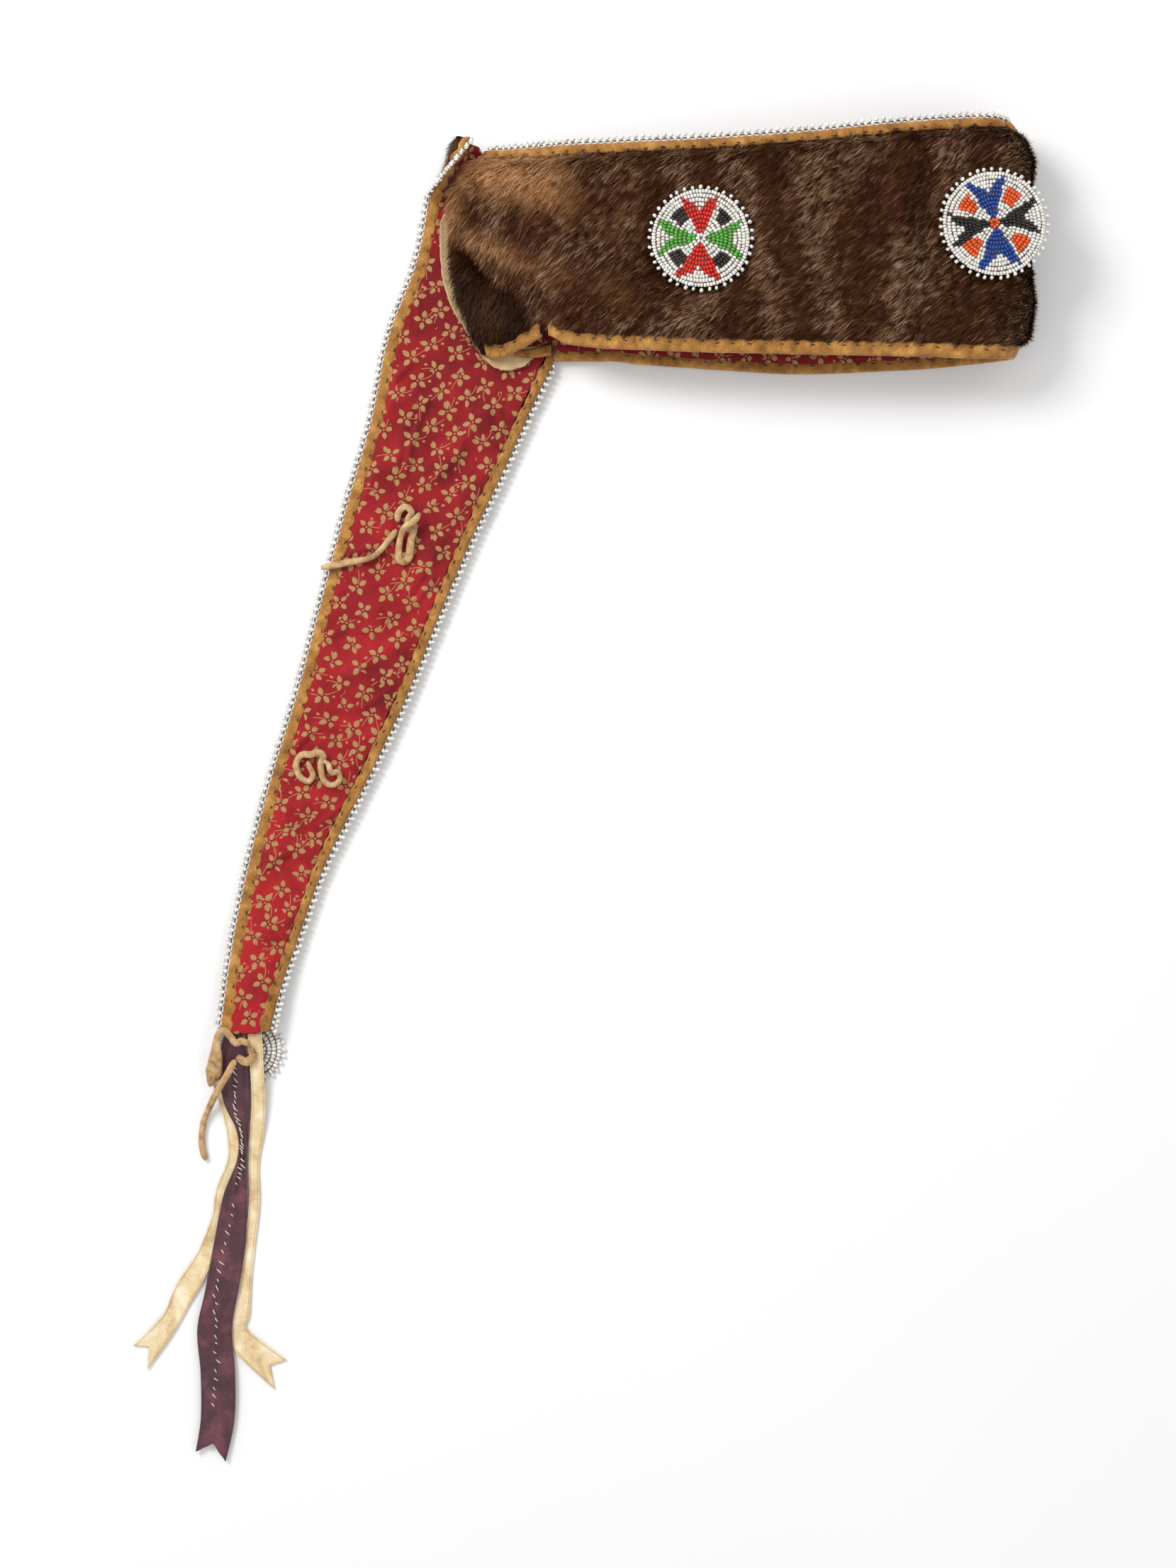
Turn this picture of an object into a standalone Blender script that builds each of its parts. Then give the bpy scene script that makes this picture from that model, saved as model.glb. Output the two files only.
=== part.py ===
"""Fur turban lying flat: a folded fur band with a long calico-lined trailer, beaded edges,
beaded rosettes, buckskin ties and silk ribbons.

Metres, +Z up. +X is to the right along the band, +Y across the band towards its beaded edge.
The origin is the middle of the band's flat underside, on the surface that it lies on.
"""

import math
from collections import namedtuple

import bmesh
import bpy
import numpy as np
from mathutils import Vector

# Layers of the strip
HIDE = 0.0015
LINING = 0.001
TAPE = 0.0011
GAP = 0.00035
FUR = 0.0055
FUR_CRUSHED = 0.0035
FUR_RAMP = 0.004
BINDING_WIDTH = 0.0055
NARROW_BINDING = 0.0032

# Band
BAND_LENGTH = 0.285
BAND_WIDTH = 0.100
BAND_LEFT = -0.145
RING_CLEAR = 0.030
FOLD_SETBACK = 0.022
LOCK_DEPTH = 0.0013
LOCK_PITCH = 0.018
RIPPLE_DEPTH = 0.0007
RIPPLE_PITCH = 0.023

# Trailer
TRAILER_RUN = 0.408
TRAILER_WIDTH = 0.090
TRAILER_ROOT = (-0.1115, -0.0055)
TRAILER_BEARING = math.radians(-109.23)
CURL_START = 0.038
CURL_RADIUS = 0.0055
FOLD_HEIGHT = 0.0038
TIP_LIFT = 0.0031

# Beads, rosettes, ties and ribbons
EDGE_BEAD = 0.0028
ROSETTE_THICK = 0.0026
ROSETTE_DOME = 0.0009
ROSETTE_BED = 0.004
ROSETTE_LEFT_RADIUS = 0.0250
ROSETTE_RIGHT_RADIUS = 0.0264
ROSETTE_TAIL_RADIUS = 0.0175
ROSETTE_RIGHT_SETBACK = 0.0236
ROSETTE_LEFT_AT = (BAND_LEFT + 0.426 * BAND_LENGTH, -0.059 * BAND_WIDTH)
ROSETTE_RIGHT_AT = (BAND_LEFT + BAND_LENGTH - ROSETTE_RIGHT_SETBACK, 0.013 * BAND_WIDTH)
ROSETTE_RIGHT_TILT = math.radians(4.0)
THONG = 0.0032
RIBBON = 0.0008
RIBBON_RUN = 0.196

Edge = namedtuple("Edge", "along upper_south upper_north lower_south lower_north")
EDGES = np.array([
    Edge(0.00, -0.560, 0.425, -0.570, 0.370),
    Edge(0.05, -0.565, 0.422, -0.570, 0.370),
    Edge(0.11, -0.515, 0.415, -0.570, 0.372),
    Edge(0.155, -0.475, 0.410, -0.570, 0.374),
    Edge(0.20, -0.525, 0.407, -0.584, 0.376),
    Edge(0.27, -0.555, 0.406, -0.594, 0.382),
    Edge(0.42, -0.577, 0.415, -0.614, 0.398),
    Edge(0.60, -0.590, 0.447, -0.632, 0.435),
    Edge(0.80, -0.600, 0.500, -0.611, 0.485),
    Edge(0.92, -0.610, 0.518, -0.585, 0.500),
    Edge(1.00, -0.600, 0.512, -0.568, 0.505),
])

Rise = namedtuple("Rise", "along height")
RISES = np.array([
    Rise(0.00, 0.162),
    Rise(0.03, 0.195),
    Rise(0.06, 0.270),
    Rise(0.10, 0.400),
    Rise(0.15, 0.580),
    Rise(0.22, 0.780),
    Rise(0.34, 0.960),
    Rise(0.52, 1.030),
    Rise(0.72, 1.040),
    Rise(0.925, 1.000),
])

LeftEnd = namedtuple("LeftEnd", "across inset")
LEFT_END = np.array([
    LeftEnd(0.00, 0.053),
    LeftEnd(0.10, 0.040),
    LeftEnd(0.20, 0.027),
    LeftEnd(0.30, 0.013),
    LeftEnd(0.45, 0.004),
    LeftEnd(0.70, 0.001),
    LeftEnd(0.80, 0.003),
    LeftEnd(0.87, 0.016),
    LeftEnd(0.94, 0.034),
    LeftEnd(1.00, 0.058),
])

Dent = namedtuple("Dent", "from_x from_y to_x to_y deep wide")
DENTS = [
    Dent(-1.42, 0.00, -1.02, -0.42, 0.42, 0.045),
    Dent(-1.10, 0.20, -0.75, 0.02, 0.16, 0.060),
    Dent(0.55, -0.30, 0.62, 0.30, 0.14, 0.050),
]

Row = namedtuple("Row", "left_along left_out right_along right_out curl lift")
ROWS = np.array([
    Row(-0.105, 0.620, 0.107, -0.365, 1.00, 0.0),
    Row(-0.060, 0.594, 0.120, -0.355, 0.88, 0.0),
    Row(-0.035, 0.570, 0.130, -0.350, 0.76, 0.0),
    Row(-0.010, 0.530, 0.140, -0.345, 0.40, 0.0),
    Row(0.057, 0.495, 0.179, -0.325, 0.00, 0.0),
    Row(0.148, 0.505, 0.255, -0.295, 0.00, 0.0),
    Row(0.246, 0.445, 0.339, -0.255, 0.00, 0.0),
    Row(0.361, 0.415, 0.446, -0.225, 0.00, 0.0),
    Row(0.464, 0.380, 0.557, -0.200, 0.00, 0.0),
    Row(0.588, 0.335, 0.657, -0.150, 0.00, 0.0),
    Row(0.703, 0.315, 0.767, -0.087, 0.00, 0.0),
    Row(0.808, 0.275, 0.858, -0.080, 0.00, 0.0),
    Row(0.900, 0.215, 0.930, -0.080, 0.00, 0.7),
    Row(1.000, 0.125, 0.985, -0.100, 0.00, 1.0),
])
MITRE_BEND = 0.23

Fold = namedtuple("Fold", "along out bearing long wide high")
FOLDS = [
    Fold(0.085, 0.39, 84, 0.30, 0.050, 0.80),
    Fold(0.200, 0.22, 62, 0.34, 0.055, 0.75),
    Fold(0.235, -0.05, 18, 0.30, 0.050, 0.90),
    Fold(0.300, 0.30, 30, 0.26, 0.050, 0.55),
    Fold(0.345, -0.12, 8, 0.24, 0.045, 0.70),
    Fold(0.440, 0.18, -35, 0.26, 0.060, 0.60),
    Fold(0.520, 0.02, 40, 0.24, 0.050, 0.65),
    Fold(0.610, 0.17, -28, 0.22, 0.050, 0.50),
    Fold(0.690, 0.05, 32, 0.22, 0.050, 0.60),
    Fold(0.790, 0.12, -38, 0.16, 0.045, 0.55),
    Fold(0.860, 0.03, 36, 0.15, 0.040, 0.50),
]

Margin = namedtuple("Margin", "outer_x outer_y inner_x inner_y")
MARGIN = np.array([
    Margin(-1.485, 0.130, -1.380, 0.130),
    Margin(-1.500, 0.070, -1.400, 0.070),
    Margin(-1.495, -0.140, -1.395, -0.120),
    Margin(-1.450, -0.310, -1.350, -0.270),
    Margin(-1.365, -0.460, -1.280, -0.400),
    Margin(-1.275, -0.586, -1.220, -0.490),
    Margin(-1.200, -0.632, -1.170, -0.520),
    Margin(-1.110, -0.622, -1.100, -0.520),
    Margin(-1.045, -0.575, -1.030, -0.515),
])

# Ribbons: places as shares of RIBBON_RUN from the trailer's tip, +X and +Y as the whole object's
Strip = namedtuple("Strip", "left_x left_y right_x right_y height")
PURPLE = np.array([
    Strip(-0.052, 0.008, -0.008, 0.008, 6.0),
    Strip(-0.070, -0.070, 0.008, -0.070, 4.0),
    Strip(-0.056, -0.165, 0.011, -0.165, 2.6),
    Strip(-0.024, -0.240, 0.006, -0.240, 1.6),
    Strip(-0.024, -0.310, 0.002, -0.310, 1.6),
    Strip(-0.058, -0.400, 0.003, -0.400, 1.6),
    Strip(-0.082, -0.520, -0.002, -0.520, 1.6),
    Strip(-0.104, -0.640, -0.018, -0.630, 1.6),
    Strip(-0.124, -0.740, -0.036, -0.735, 1.6),
    Strip(-0.115, -0.850, -0.028, -0.850, 1.6),
    Strip(-0.115, -0.960, -0.030, -0.965, 1.6),
    Strip(-0.128, -1.045, -0.052, -1.070, 1.6),
])
CREAM_RIGHT = np.array([
    Strip(0.006, 0.010, 0.042, 0.009, 6.4),
    Strip(0.012, -0.080, 0.046, -0.080, 5.2),
    Strip(0.014, -0.165, 0.048, -0.165, 3.2),
    Strip(0.008, -0.245, 0.043, -0.245, 0.5),
    Strip(0.004, -0.325, 0.031, -0.325, 0.3),
    Strip(0.005, -0.430, 0.031, -0.430, 0.3),
    Strip(-0.018, -0.590, 0.014, -0.590, 0.3),
    Strip(-0.046, -0.710, 0.006, -0.700, 0.3),
    Strip(-0.038, -0.780, 0.000, -0.735, 0.3),
    Strip(0.004, -0.828, 0.040, -0.770, 0.5),
    Strip(0.070, -0.890, 0.100, -0.815, 0.3),
])
CREAM_LEFT = np.array([
    Strip(-0.086, -0.122, -0.052, -0.122, 0.3),
    Strip(-0.064, -0.185, -0.032, -0.185, 0.3),
    Strip(-0.050, -0.250, -0.018, -0.250, 0.3),
    Strip(-0.048, -0.310, -0.016, -0.310, 0.3),
    Strip(-0.077, -0.385, -0.042, -0.385, 0.3),
    Strip(-0.087, -0.450, -0.050, -0.450, 0.3),
    Strip(-0.122, -0.540, -0.082, -0.560, 0.3),
    Strip(-0.180, -0.630, -0.140, -0.670, 0.3),
    Strip(-0.210, -0.700, -0.178, -0.735, 0.3),
    Strip(-0.286, -0.780, -0.250, -0.840, 0.3),
])
NOTCH = 0.035

# Routes of the ties in millimetres, chosen by hand; on the trailer the height is over the calico
THONG_UPPER = [(-4.8, -1.0, 1.0), (-4.6, 3.6, 1.0), (-1.0, 6.4, 1.8), (2.0, 3.6, 1.2),
               (0.2, -0.6, 1.0), (3.0, -3.6, 1.2), (1.6, -10.0, 0.6), (0.6, -18.0, 0.4),
               (-2.6, -20.6, 0.4), (-4.6, -17.6, 0.4), (-3.6, -9.0, 1.0), (-1.4, -4.4, 5.0),
               (3.4, -1.0, 5.2), (6.0, 3.0, 3.6)]
THONG_UPPER_TAIL = [(-5.4, -4.8, 0.2), (-9.0, -9.2, 0.2), (-13.2, -14.6, 0.4), (-18.4, -18.8, 0.6),
                    (-27.4, -20.6, 0.4), (-35.2, -22.0, 0.0), (-42.6, -23.4, -0.2)]
THONG_UPPER_AT = (-0.1659, -0.1369)
THONG_MIDDLE = [(-6.4, 3.2, 0.2), (-5.4, 0.4, 0.2), (-3.6, -3.2, 0.2), (-5.6, -6.6, 0.2), (-9.4, -5.0, 0.2),
                (-11.8, -0.6, 0.2), (-11.4, 3.8, 0.4), (-8.6, 6.6, 1.2), (-4.4, 6.4, 2.0), (-1.2, 7.6, 1.2),
                (1.6, 5.8, 0.6), (0.2, 1.6, 0.4), (0.8, -3.2, 0.4), (2.8, -7.4, 0.4), (6.4, -8.4, 0.4),
                (9.6, -5.8, 0.4), (8.8, -2.0, 1.0), (5.8, -2.4, 3.8), (4.4, 1.6, 4.2), (2.2, 3.4, 4.2)]
THONG_MIDDLE_AT = (-0.2087, -0.2584)
THONG_END = [(4.6, 5.2, 12.4), (0.6, 7.2, 12.4), (-2.4, 6.0, 12.0), (-5.4, 9.6, 11.6), (-8.8, 12.4, 11.4),
             (-11.6, 8.6, 11.2), (-12.4, 0.0, 10.6), (-13.8, -8.0, 7.0), (-16.2, -16.0, 5.0)]
THONG_END_TAIL = [(-2.9, -2.5, 9.3), (-4.6, -5.2, 10.2), (-7.4, -10.4, 9.8), (-10.6, -15.4, 8.6), (-13.6, -20.6, 6.4),
                  (-18.0, -29.6, 2.8), (-20.0, -35.2, 1.9), (-20.6, -45.0, 1.9), (-18.6, -52.6, 1.9)]
THONG_END_KNOT = [(3.4, 4.4, 9.0), (5.6, -0.4, 8.6), (2.0, -3.6, 8.4), (-2.2, -0.6, 9.0)]
THONG_END_AT = (-0.2474, -0.3992)

LINING_TOP = HIDE + FUR_CRUSHED + GAP + LINING
MARGIN_TOP = LINING_TOP + 2 * GAP + HIDE
FLOOR_TO_HIDE = HIDE + FUR_CRUSHED
BEAD_OUT = GAP + TAPE + GAP + EDGE_BEAD / 2
RINGS = 28

# Every layer of a strip has its rings at the same stations, so that the layers stay parallel
LOWER_STEPS, FOLD_STEPS, UPPER_STEPS = 10, 8, 30
BAND_STATIONS = ([i / LOWER_STEPS for i in range(LOWER_STEPS)]
                 + [1 + i / FOLD_STEPS for i in range(FOLD_STEPS)]
                 + [2 + i / UPPER_STEPS for i in range(UPPER_STEPS + 1)])
TRAILER_STEPS = 36
TRAILER_STATIONS = [i / TRAILER_STEPS for i in range(TRAILER_STEPS + 1)]
BAND_COLUMNS = 14
CURL_COLUMNS = (0.0020, 0.0040, 0.0062, 0.0086, 0.0110, 0.0134, 0.0160)
MIDDLE_COLUMNS = 3


def ease(value):
    """0 below 0, 1 above 1, and smooth between."""
    t = min(1.0, max(0.0, value))
    return t * t * (3 - 2 * t)


def blend(table, position):
    """The table's row at a position counted in rows, on a smooth curve through the rows."""
    last = len(table) - 1
    position = min(float(last), max(0.0, position))
    i = min(last - 1, int(position))
    t = position - i
    before, after = table[max(0, i - 1)], table[min(last, i + 2)]
    here, there = table[i], table[i + 1]
    slope_here, slope_there = (there - before) / 2, (after - here) / 2
    return (here * (2 * t**3 - 3 * t**2 + 1) + slope_here * (t**3 - 2 * t**2 + t)
            + there * (3 * t**2 - 2 * t**3) + slope_there * (t**3 - t**2))


def follow(table, value):
    """The table's row where its first column has this value."""
    keys = table[:, 0]
    i = int(np.clip(np.searchsorted(keys, value) - 1, 0, len(keys) - 2))
    return blend(table, i + (value - keys[i]) / (keys[i + 1] - keys[i]))


def trailer_plan(along, out):
    """The place on the surface of a point given along and across the trailer's axis."""
    down = Vector((math.cos(TRAILER_BEARING), math.sin(TRAILER_BEARING)))
    side = Vector((down.y, -down.x))
    return Vector(TRAILER_ROOT) + down * along + side * out


def trailer_fold(along, out):
    """How far the calico stands up in folds over the pelt."""
    high = 0.0
    for f in FOLDS:
        da = along - f.along * TRAILER_RUN
        do = out - f.out * TRAILER_WIDTH
        turn = math.radians(f.bearing)
        run = da * math.cos(turn) + do * math.sin(turn)
        off = do * math.cos(turn) - da * math.sin(turn)
        long, wide = f.long * TRAILER_WIDTH, f.wide * TRAILER_WIDTH
        high = max(high, f.high * math.exp(-(run / long) ** 4 - (off / wide) ** 2))
    return high * FOLD_HEIGHT


def trailer_point(down, across, inward, depth, folds=0.0):
    """A point of the trailer. down: 0 at the root to 1 at the tip; across: 0 at the left edge to 1 at
    the right; inward: metres added from the nearer edge; depth: metres under the hide's upper face."""
    row = Row(*blend(ROWS, down * (len(ROWS) - 1)))
    left, right = row.left_out * TRAILER_WIDTH, row.right_out * TRAILER_WIDTH
    share = across + (inward / (left - right) if across < 0.5 else -inward / (left - right))
    out = left + (right - left) * share
    slant = max(0.0, (share - MITRE_BEND) / (1 - MITRE_BEND))
    along = (row.left_along + (row.right_along - row.left_along) * slant) * TRAILER_RUN
    base = FLOOR_TO_HIDE + max(0.0, row.lift) * TIP_LIFT
    rise = folds * trailer_fold(along, out) * fold_fade(along, out)
    depth -= rise
    if row.curl > 0.01 and out > CURL_START:
        radius = CURL_RADIUS / row.curl
        arc = out - CURL_START
        bent = min(arc, max(0.0, left - CURL_START - NARROW_BINDING - 7 * GAP))
        turn = min(bent / radius, math.pi)
        rest = arc - turn * radius
        out = CURL_START + (radius + depth) * math.sin(turn) + rest * math.cos(turn)
        height = base + radius - (radius + depth) * math.cos(turn) + rest * math.sin(turn)
    else:
        height = base - depth
    place = trailer_plan(along, out)
    return Vector((place.x, place.y, height))


def fold_fade(along, out):
    """No fold under the seam where the band's left end is sewn down, nor at the trailer's tip."""
    place = trailer_plan(along, out)
    beside = ease((BAND_LEFT - 0.012 - place.x) / 0.010)
    below = ease((-0.72 * BAND_WIDTH - place.y) / 0.010)
    return max(beside, below) * ease((0.97 * TRAILER_RUN - along) / 0.02)


MITRE_SOUTH = trailer_point(0, 1, 0, 0)
MITRE_NORTH = trailer_point(0, MITRE_BEND, 0, 0)


def mitre_x(y):
    """Where the seam between the trailer and the band's lower wall runs."""
    share = (y - MITRE_SOUTH.y) / (MITRE_NORTH.y - MITRE_SOUTH.y)
    return MITRE_SOUTH.x + share * (MITRE_NORTH.x - MITRE_SOUTH.x)


def band_path(station):
    """(x, z, side) of the hide's inner face. station: 0 to 1 lower wall, 1 to 2 fold at the right,
    2 to 3 upper wall; side: 0 lower, 1 upper."""
    fold_x = BAND_LEFT + BAND_LENGTH - FOLD_SETBACK
    radius = RING_CLEAR / 2
    if station <= 1:
        return BAND_LEFT + (fold_x - BAND_LEFT) * station, FLOOR_TO_HIDE, 0.0
    if station <= 2:
        turn = (station - 1) * math.pi
        return (fold_x + radius * math.sin(turn), FLOOR_TO_HIDE + radius * (1 - math.cos(turn)),
                (1 - math.cos(turn)) / 2)
    x = fold_x + (BAND_LEFT - fold_x) * (station - 2)
    rise = follow(RISES, (x - BAND_LEFT) / BAND_LENGTH)[1]
    return x, FLOOR_TO_HIDE + rise * RING_CLEAR, 1.0


def band_point(station, across, inward, depth):
    """A point of the band. across: 0 at the mouth's edge to 1 at the beaded edge; inward: metres from
    the nearer edge; depth: metres out of the ring from the hide's inner face."""
    step = 0.002
    x, z, side = band_path(station)
    x0, z0, _ = band_path(max(0.0, station - step))
    x1, z1, _ = band_path(min(3.0, station + step))
    run = math.hypot(x1 - x0, z1 - z0)
    normal_x, normal_z = (z1 - z0) / run, -(x1 - x0) / run
    share = min(1.0, max(0.0, (x - BAND_LEFT) / BAND_LENGTH))
    edge = Edge(*follow(EDGES, share))
    south = (edge.lower_south + (edge.upper_south - edge.lower_south) * side) * BAND_WIDTH
    north = (edge.lower_north + (edge.upper_north - edge.lower_north) * side) * BAND_WIDTH
    y = south + (north - south) * across + (inward if across < 0.5 else -inward)
    across = (y - south) / (north - south)
    if side < 0.5:
        start = mitre_x(y) + GAP
        reach = 0.6 * BAND_LENGTH
    else:
        start = BAND_LEFT + follow(LEFT_END, min(1.0, max(0.0, across)))[1] * BAND_LENGTH
        reach = 0.2 * BAND_LENGTH
    fade = max(0.0, 1 - (x - BAND_LEFT) / reach)
    slack = FOLD_SETBACK * 0.25 * min(1.0, (2 * across - 1) ** 4) * ease((x - BAND_LEFT) / BAND_LENGTH * 8 - 6.6)
    return Vector((x + (start - BAND_LEFT) * fade - slack + normal_x * depth, y, z + normal_z * depth))


def rosette_bed(point):
    """1 under a rosette on the band, 0 away from it."""
    bed = 0.0
    for centre, radius in ((ROSETTE_LEFT_AT, ROSETTE_LEFT_RADIUS), (ROSETTE_RIGHT_AT, ROSETTE_RIGHT_RADIUS)):
        away = math.hypot(point.x - centre[0], point.y - centre[1])
        bed = max(bed, 1 - ease((away - radius - 0.005) / 0.006))
    return bed


def fur_depth(station, across, place):
    """The fur's thickness over the hide: slanting locks, ripples, dents and beds for the rosettes."""
    slant = place.y * 0.85 + place.x * 0.5
    lock = math.sin(2 * math.pi * place.x / LOCK_PITCH + 1.7 * math.sin(slant / 0.006))
    lock = lock * 0.6 + 0.4 * math.sin(2 * math.pi * slant / LOCK_PITCH)
    ripple = math.sin(2 * math.pi * place.x / RIPPLE_PITCH) * ease((place.x + 0.02) / 0.04)
    thick = FUR + LOCK_DEPTH * lock + RIPPLE_DEPTH * ripple
    for d in DENTS:
        a = Vector((d.from_x, d.from_y)) * BAND_WIDTH
        b = Vector((d.to_x, d.to_y)) * BAND_WIDTH
        t = min(1.0, max(0.0, (place.xy - a).dot(b - a) / (b - a).length_squared))
        thick -= d.deep * FUR * math.exp(-((place.xy - a - (b - a) * t).length / (d.wide * BAND_WIDTH)) ** 2)
    thick += (ROSETTE_BED - FUR - HIDE - LOCK_DEPTH * lock) * rosette_bed(place)
    wall = ease((station - 1.03) / 0.35)
    return FUR_CRUSHED + (thick - FUR_CRUSHED) * wall


def ramp(distance, width):
    """The fur's rise from the edge of the bare hide."""
    return ease((distance - width) / FUR_RAMP)


def face_out(bm):
    """Turns every face of a closed body outwards."""
    bmesh.ops.recalc_face_normals(bm, faces=bm.faces[:])
    if bm.calc_volume(signed=True) < 0:
        bmesh.ops.reverse_faces(bm, faces=bm.faces[:])


def shell(name, along, across, place, material):
    """A closed shell: place(u, v, w) puts a grid's inner face at w 0 and its outer face at w 1."""
    mesh = bpy.data.meshes.new(name)
    bm = bmesh.new()
    bmesh.ops.create_grid(bm, x_segments=along, y_segments=across, size=0.5)
    bmesh.ops.solidify(bm, geom=bm.faces[:], thickness=1.0)
    low = min(v.co.z for v in bm.verts)
    for v in bm.verts:
        v.co = place(v.co.x + 0.5, v.co.y + 0.5, round(v.co.z - low))
    face_out(bm)
    bm.to_mesh(mesh)
    bm.free()
    return keep(name, mesh, material)


def flatten(obj):
    """Joins faces that lie in one plane."""
    planar = obj.modifiers.new("Flat faces", "DECIMATE")
    planar.decimate_type = "DISSOLVE"
    planar.angle_limit = math.radians(0.8)


def sweep(name, stations, profile, place, material):
    """A closed bar: the profile's points (inward, depth) carried along place(station, inward, depth)."""
    mesh = bpy.data.meshes.new(name)
    bm = bmesh.new()
    rings = [[bm.verts.new(place(station, *p)) for p in profile] for station in stations]
    for a, b in zip(rings, rings[1:]):
        for j in range(len(profile)):
            k = (j + 1) % len(profile)
            bm.faces.new((a[j], a[k], b[k], b[j]))
    bm.faces.new(rings[0])
    bm.faces.new(rings[-1])
    face_out(bm)
    bm.to_mesh(mesh)
    bm.free()
    return keep(name, mesh, material)


def smooth_route(points, spacing):
    """Points about a spacing apart on a smooth curve through the route's own points."""
    table = np.array([tuple(p) for p in points], float)
    fine = [blend(table, i / 12) for i in range(12 * (len(table) - 1) + 1)]
    route, last = [fine[0]], fine[0]
    for p in fine[1:-1]:
        if np.linalg.norm(p - last) >= spacing and np.linalg.norm(p - fine[-1]) >= spacing * 0.6:
            route.append(p)
            last = p
    return route + [fine[-1]]


def tube(name, points, diameter, material):
    """A round cord or string of the given diameter."""
    curve = bpy.data.curves.new(name, "CURVE")
    curve.dimensions = "3D"
    curve.bevel_depth = diameter / 2
    curve.bevel_resolution = 2
    curve.use_fill_caps = True
    spline = curve.splines.new("POLY")
    spline.points.add(len(points) - 1)
    for slot, p in zip(spline.points, points):
        slot.co = (*p, 1.0)
    return keep(name, curve, material)


def disc(name, radius, material):
    """A beaded disc with a domed top and a flat back."""
    thick = ROSETTE_THICK
    profile = [(0.0, thick + ROSETTE_DOME), (radius * 0.55, thick + ROSETTE_DOME * 0.6),
               (radius - thick * 0.5, thick), (radius, thick * 0.5), (radius - thick * 0.3, 0.0), (0.0, 0.0)]
    mesh = bpy.data.meshes.new(name)
    mesh.from_pydata([(x, 0.0, z) for x, z in profile], [(i, i + 1) for i in range(len(profile) - 1)], [])
    obj = keep(name, mesh, material)
    turn = obj.modifiers.new("Turned", "SCREW")
    turn.steps = RINGS
    turn.render_steps = RINGS
    turn.use_merge_vertices = True
    turn.merge_threshold = 0.00001
    return obj


def finish(name, colour, roughness):
    """A plain material of one colour."""
    material = bpy.data.materials.new(name)
    material.use_nodes = True
    shader = material.node_tree.nodes["Principled BSDF"]
    shader.inputs["Base Color"].default_value = (*colour, 1.0)
    shader.inputs["Roughness"].default_value = roughness
    return material


def keep(name, data, material):
    """An object of the turban, with its own material."""
    data.materials.append(material)
    obj = bpy.data.objects.new(name, data)
    turban.objects.link(obj)
    if obj.type == "MESH":
        data.shade_smooth()
        data.set_sharp_from_angle(angle=math.radians(40))
    return obj


def binding_profile(width):
    """A tape folded round the hide's edge."""
    inner, outer = -GAP, HIDE + GAP
    return [(width, inner - TAPE), (-GAP - TAPE, inner - TAPE * 0.5), (-GAP - TAPE, outer + TAPE * 0.5),
            (width, outer + TAPE), (width, outer), (-GAP, outer), (-GAP, inner), (width, inner)]


def column(v, steps, south, north, span):
    """A grid column's share across the band: columns stand where the bare hide ends and where the fur
    is full, at either edge, and the others are evenly spaced."""
    j = round(v * steps)
    first = [0.0, south, south + FUR_RAMP / 2, south + FUR_RAMP]
    last = [span - north - FUR_RAMP, span - north - FUR_RAMP / 2, span - north, span]
    if j < 4:
        return first[j] / span
    if j > steps - 4:
        return last[j - steps + 3] / span
    return (first[3] + (last[0] - first[3]) * (j - 3) / (steps - 6)) / span


def trailer_columns(span, bare):
    """Shares across the trailer: close together where its left edge curls over, and bare at the edges."""
    edge = NARROW_BINDING + 2 * GAP
    room = min(1.0, (span * 0.5 - edge) / CURL_COLUMNS[-1])
    left = [bare] + [edge + c * room for c in CURL_COLUMNS]
    right = [span - edge - c * room for c in (CURL_COLUMNS[1], CURL_COLUMNS[0])] + [span - bare]
    middle = [left[-1] + (right[0] - left[-1]) * k / MIDDLE_COLUMNS for k in range(1, MIDDLE_COLUMNS)]
    return [c / span for c in left + middle + right]


def band_fur():
    def place(u, v, w):
        station = BAND_STATIONS[round(u * (len(BAND_STATIONS) - 1))]
        span = (band_point(station, 1, 0, 0) - band_point(station, 0, 0, 0)).y
        south, north = BINDING_WIDTH + 2 * GAP, NARROW_BINDING + 2 * GAP
        across = column(v, BAND_COLUMNS, south, north, span)
        if w == 0:
            return band_point(station, across, 0, 0)
        rise = min(ramp(across * span, south), ramp((1 - across) * span, north))
        if station > 2:
            rise *= ease((3 - station) / 0.028)
        base = band_point(station, across, 0, HIDE)
        if rise <= 0:
            return base
        return band_point(station, across, 0, HIDE + rise * fur_depth(station, across, base))

    steps = len(BAND_STATIONS) - 1
    flatten(shell("band_fur", steps, BAND_COLUMNS, place, finish("fur", (0.075, 0.038, 0.02), 0.7)))


def band_lining():
    stations = [s for s in BAND_STATIONS if s < 2.93]

    def place(u, v, w):
        station = stations[round(u * (len(stations) - 1))]
        south = band_point(station, 0, BINDING_WIDTH + GAP, -GAP - LINING * w)
        north = band_point(station, 1, NARROW_BINDING + GAP, -GAP - LINING * w)
        return south.lerp(north, v)

    red = finish("calico_band", (0.42, 0.014, 0.022), 0.85)
    shell("band_lining", len(stations) - 1, 2, place, red)


def band_bindings():
    tape = finish("binding_band", (0.38, 0.22, 0.06), 0.75)

    def mouth(station, inward, depth):
        return band_point(station, 0, inward, depth)

    def beaded(station, inward, depth):
        return band_point(station, 1, inward, depth)

    long = [s for s in BAND_STATIONS if s < 2.83]
    short = [s for s in BAND_STATIONS if 2.84 < s < 2.99]
    wide, narrow = binding_profile(BINDING_WIDTH), binding_profile(NARROW_BINDING)
    sweep("band_binding_bottom", long, wide, mouth, tape)
    sweep("band_binding_end", short, wide, mouth, tape.copy())
    sweep("band_binding_top", BAND_STATIONS, narrow, beaded, tape.copy())


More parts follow.
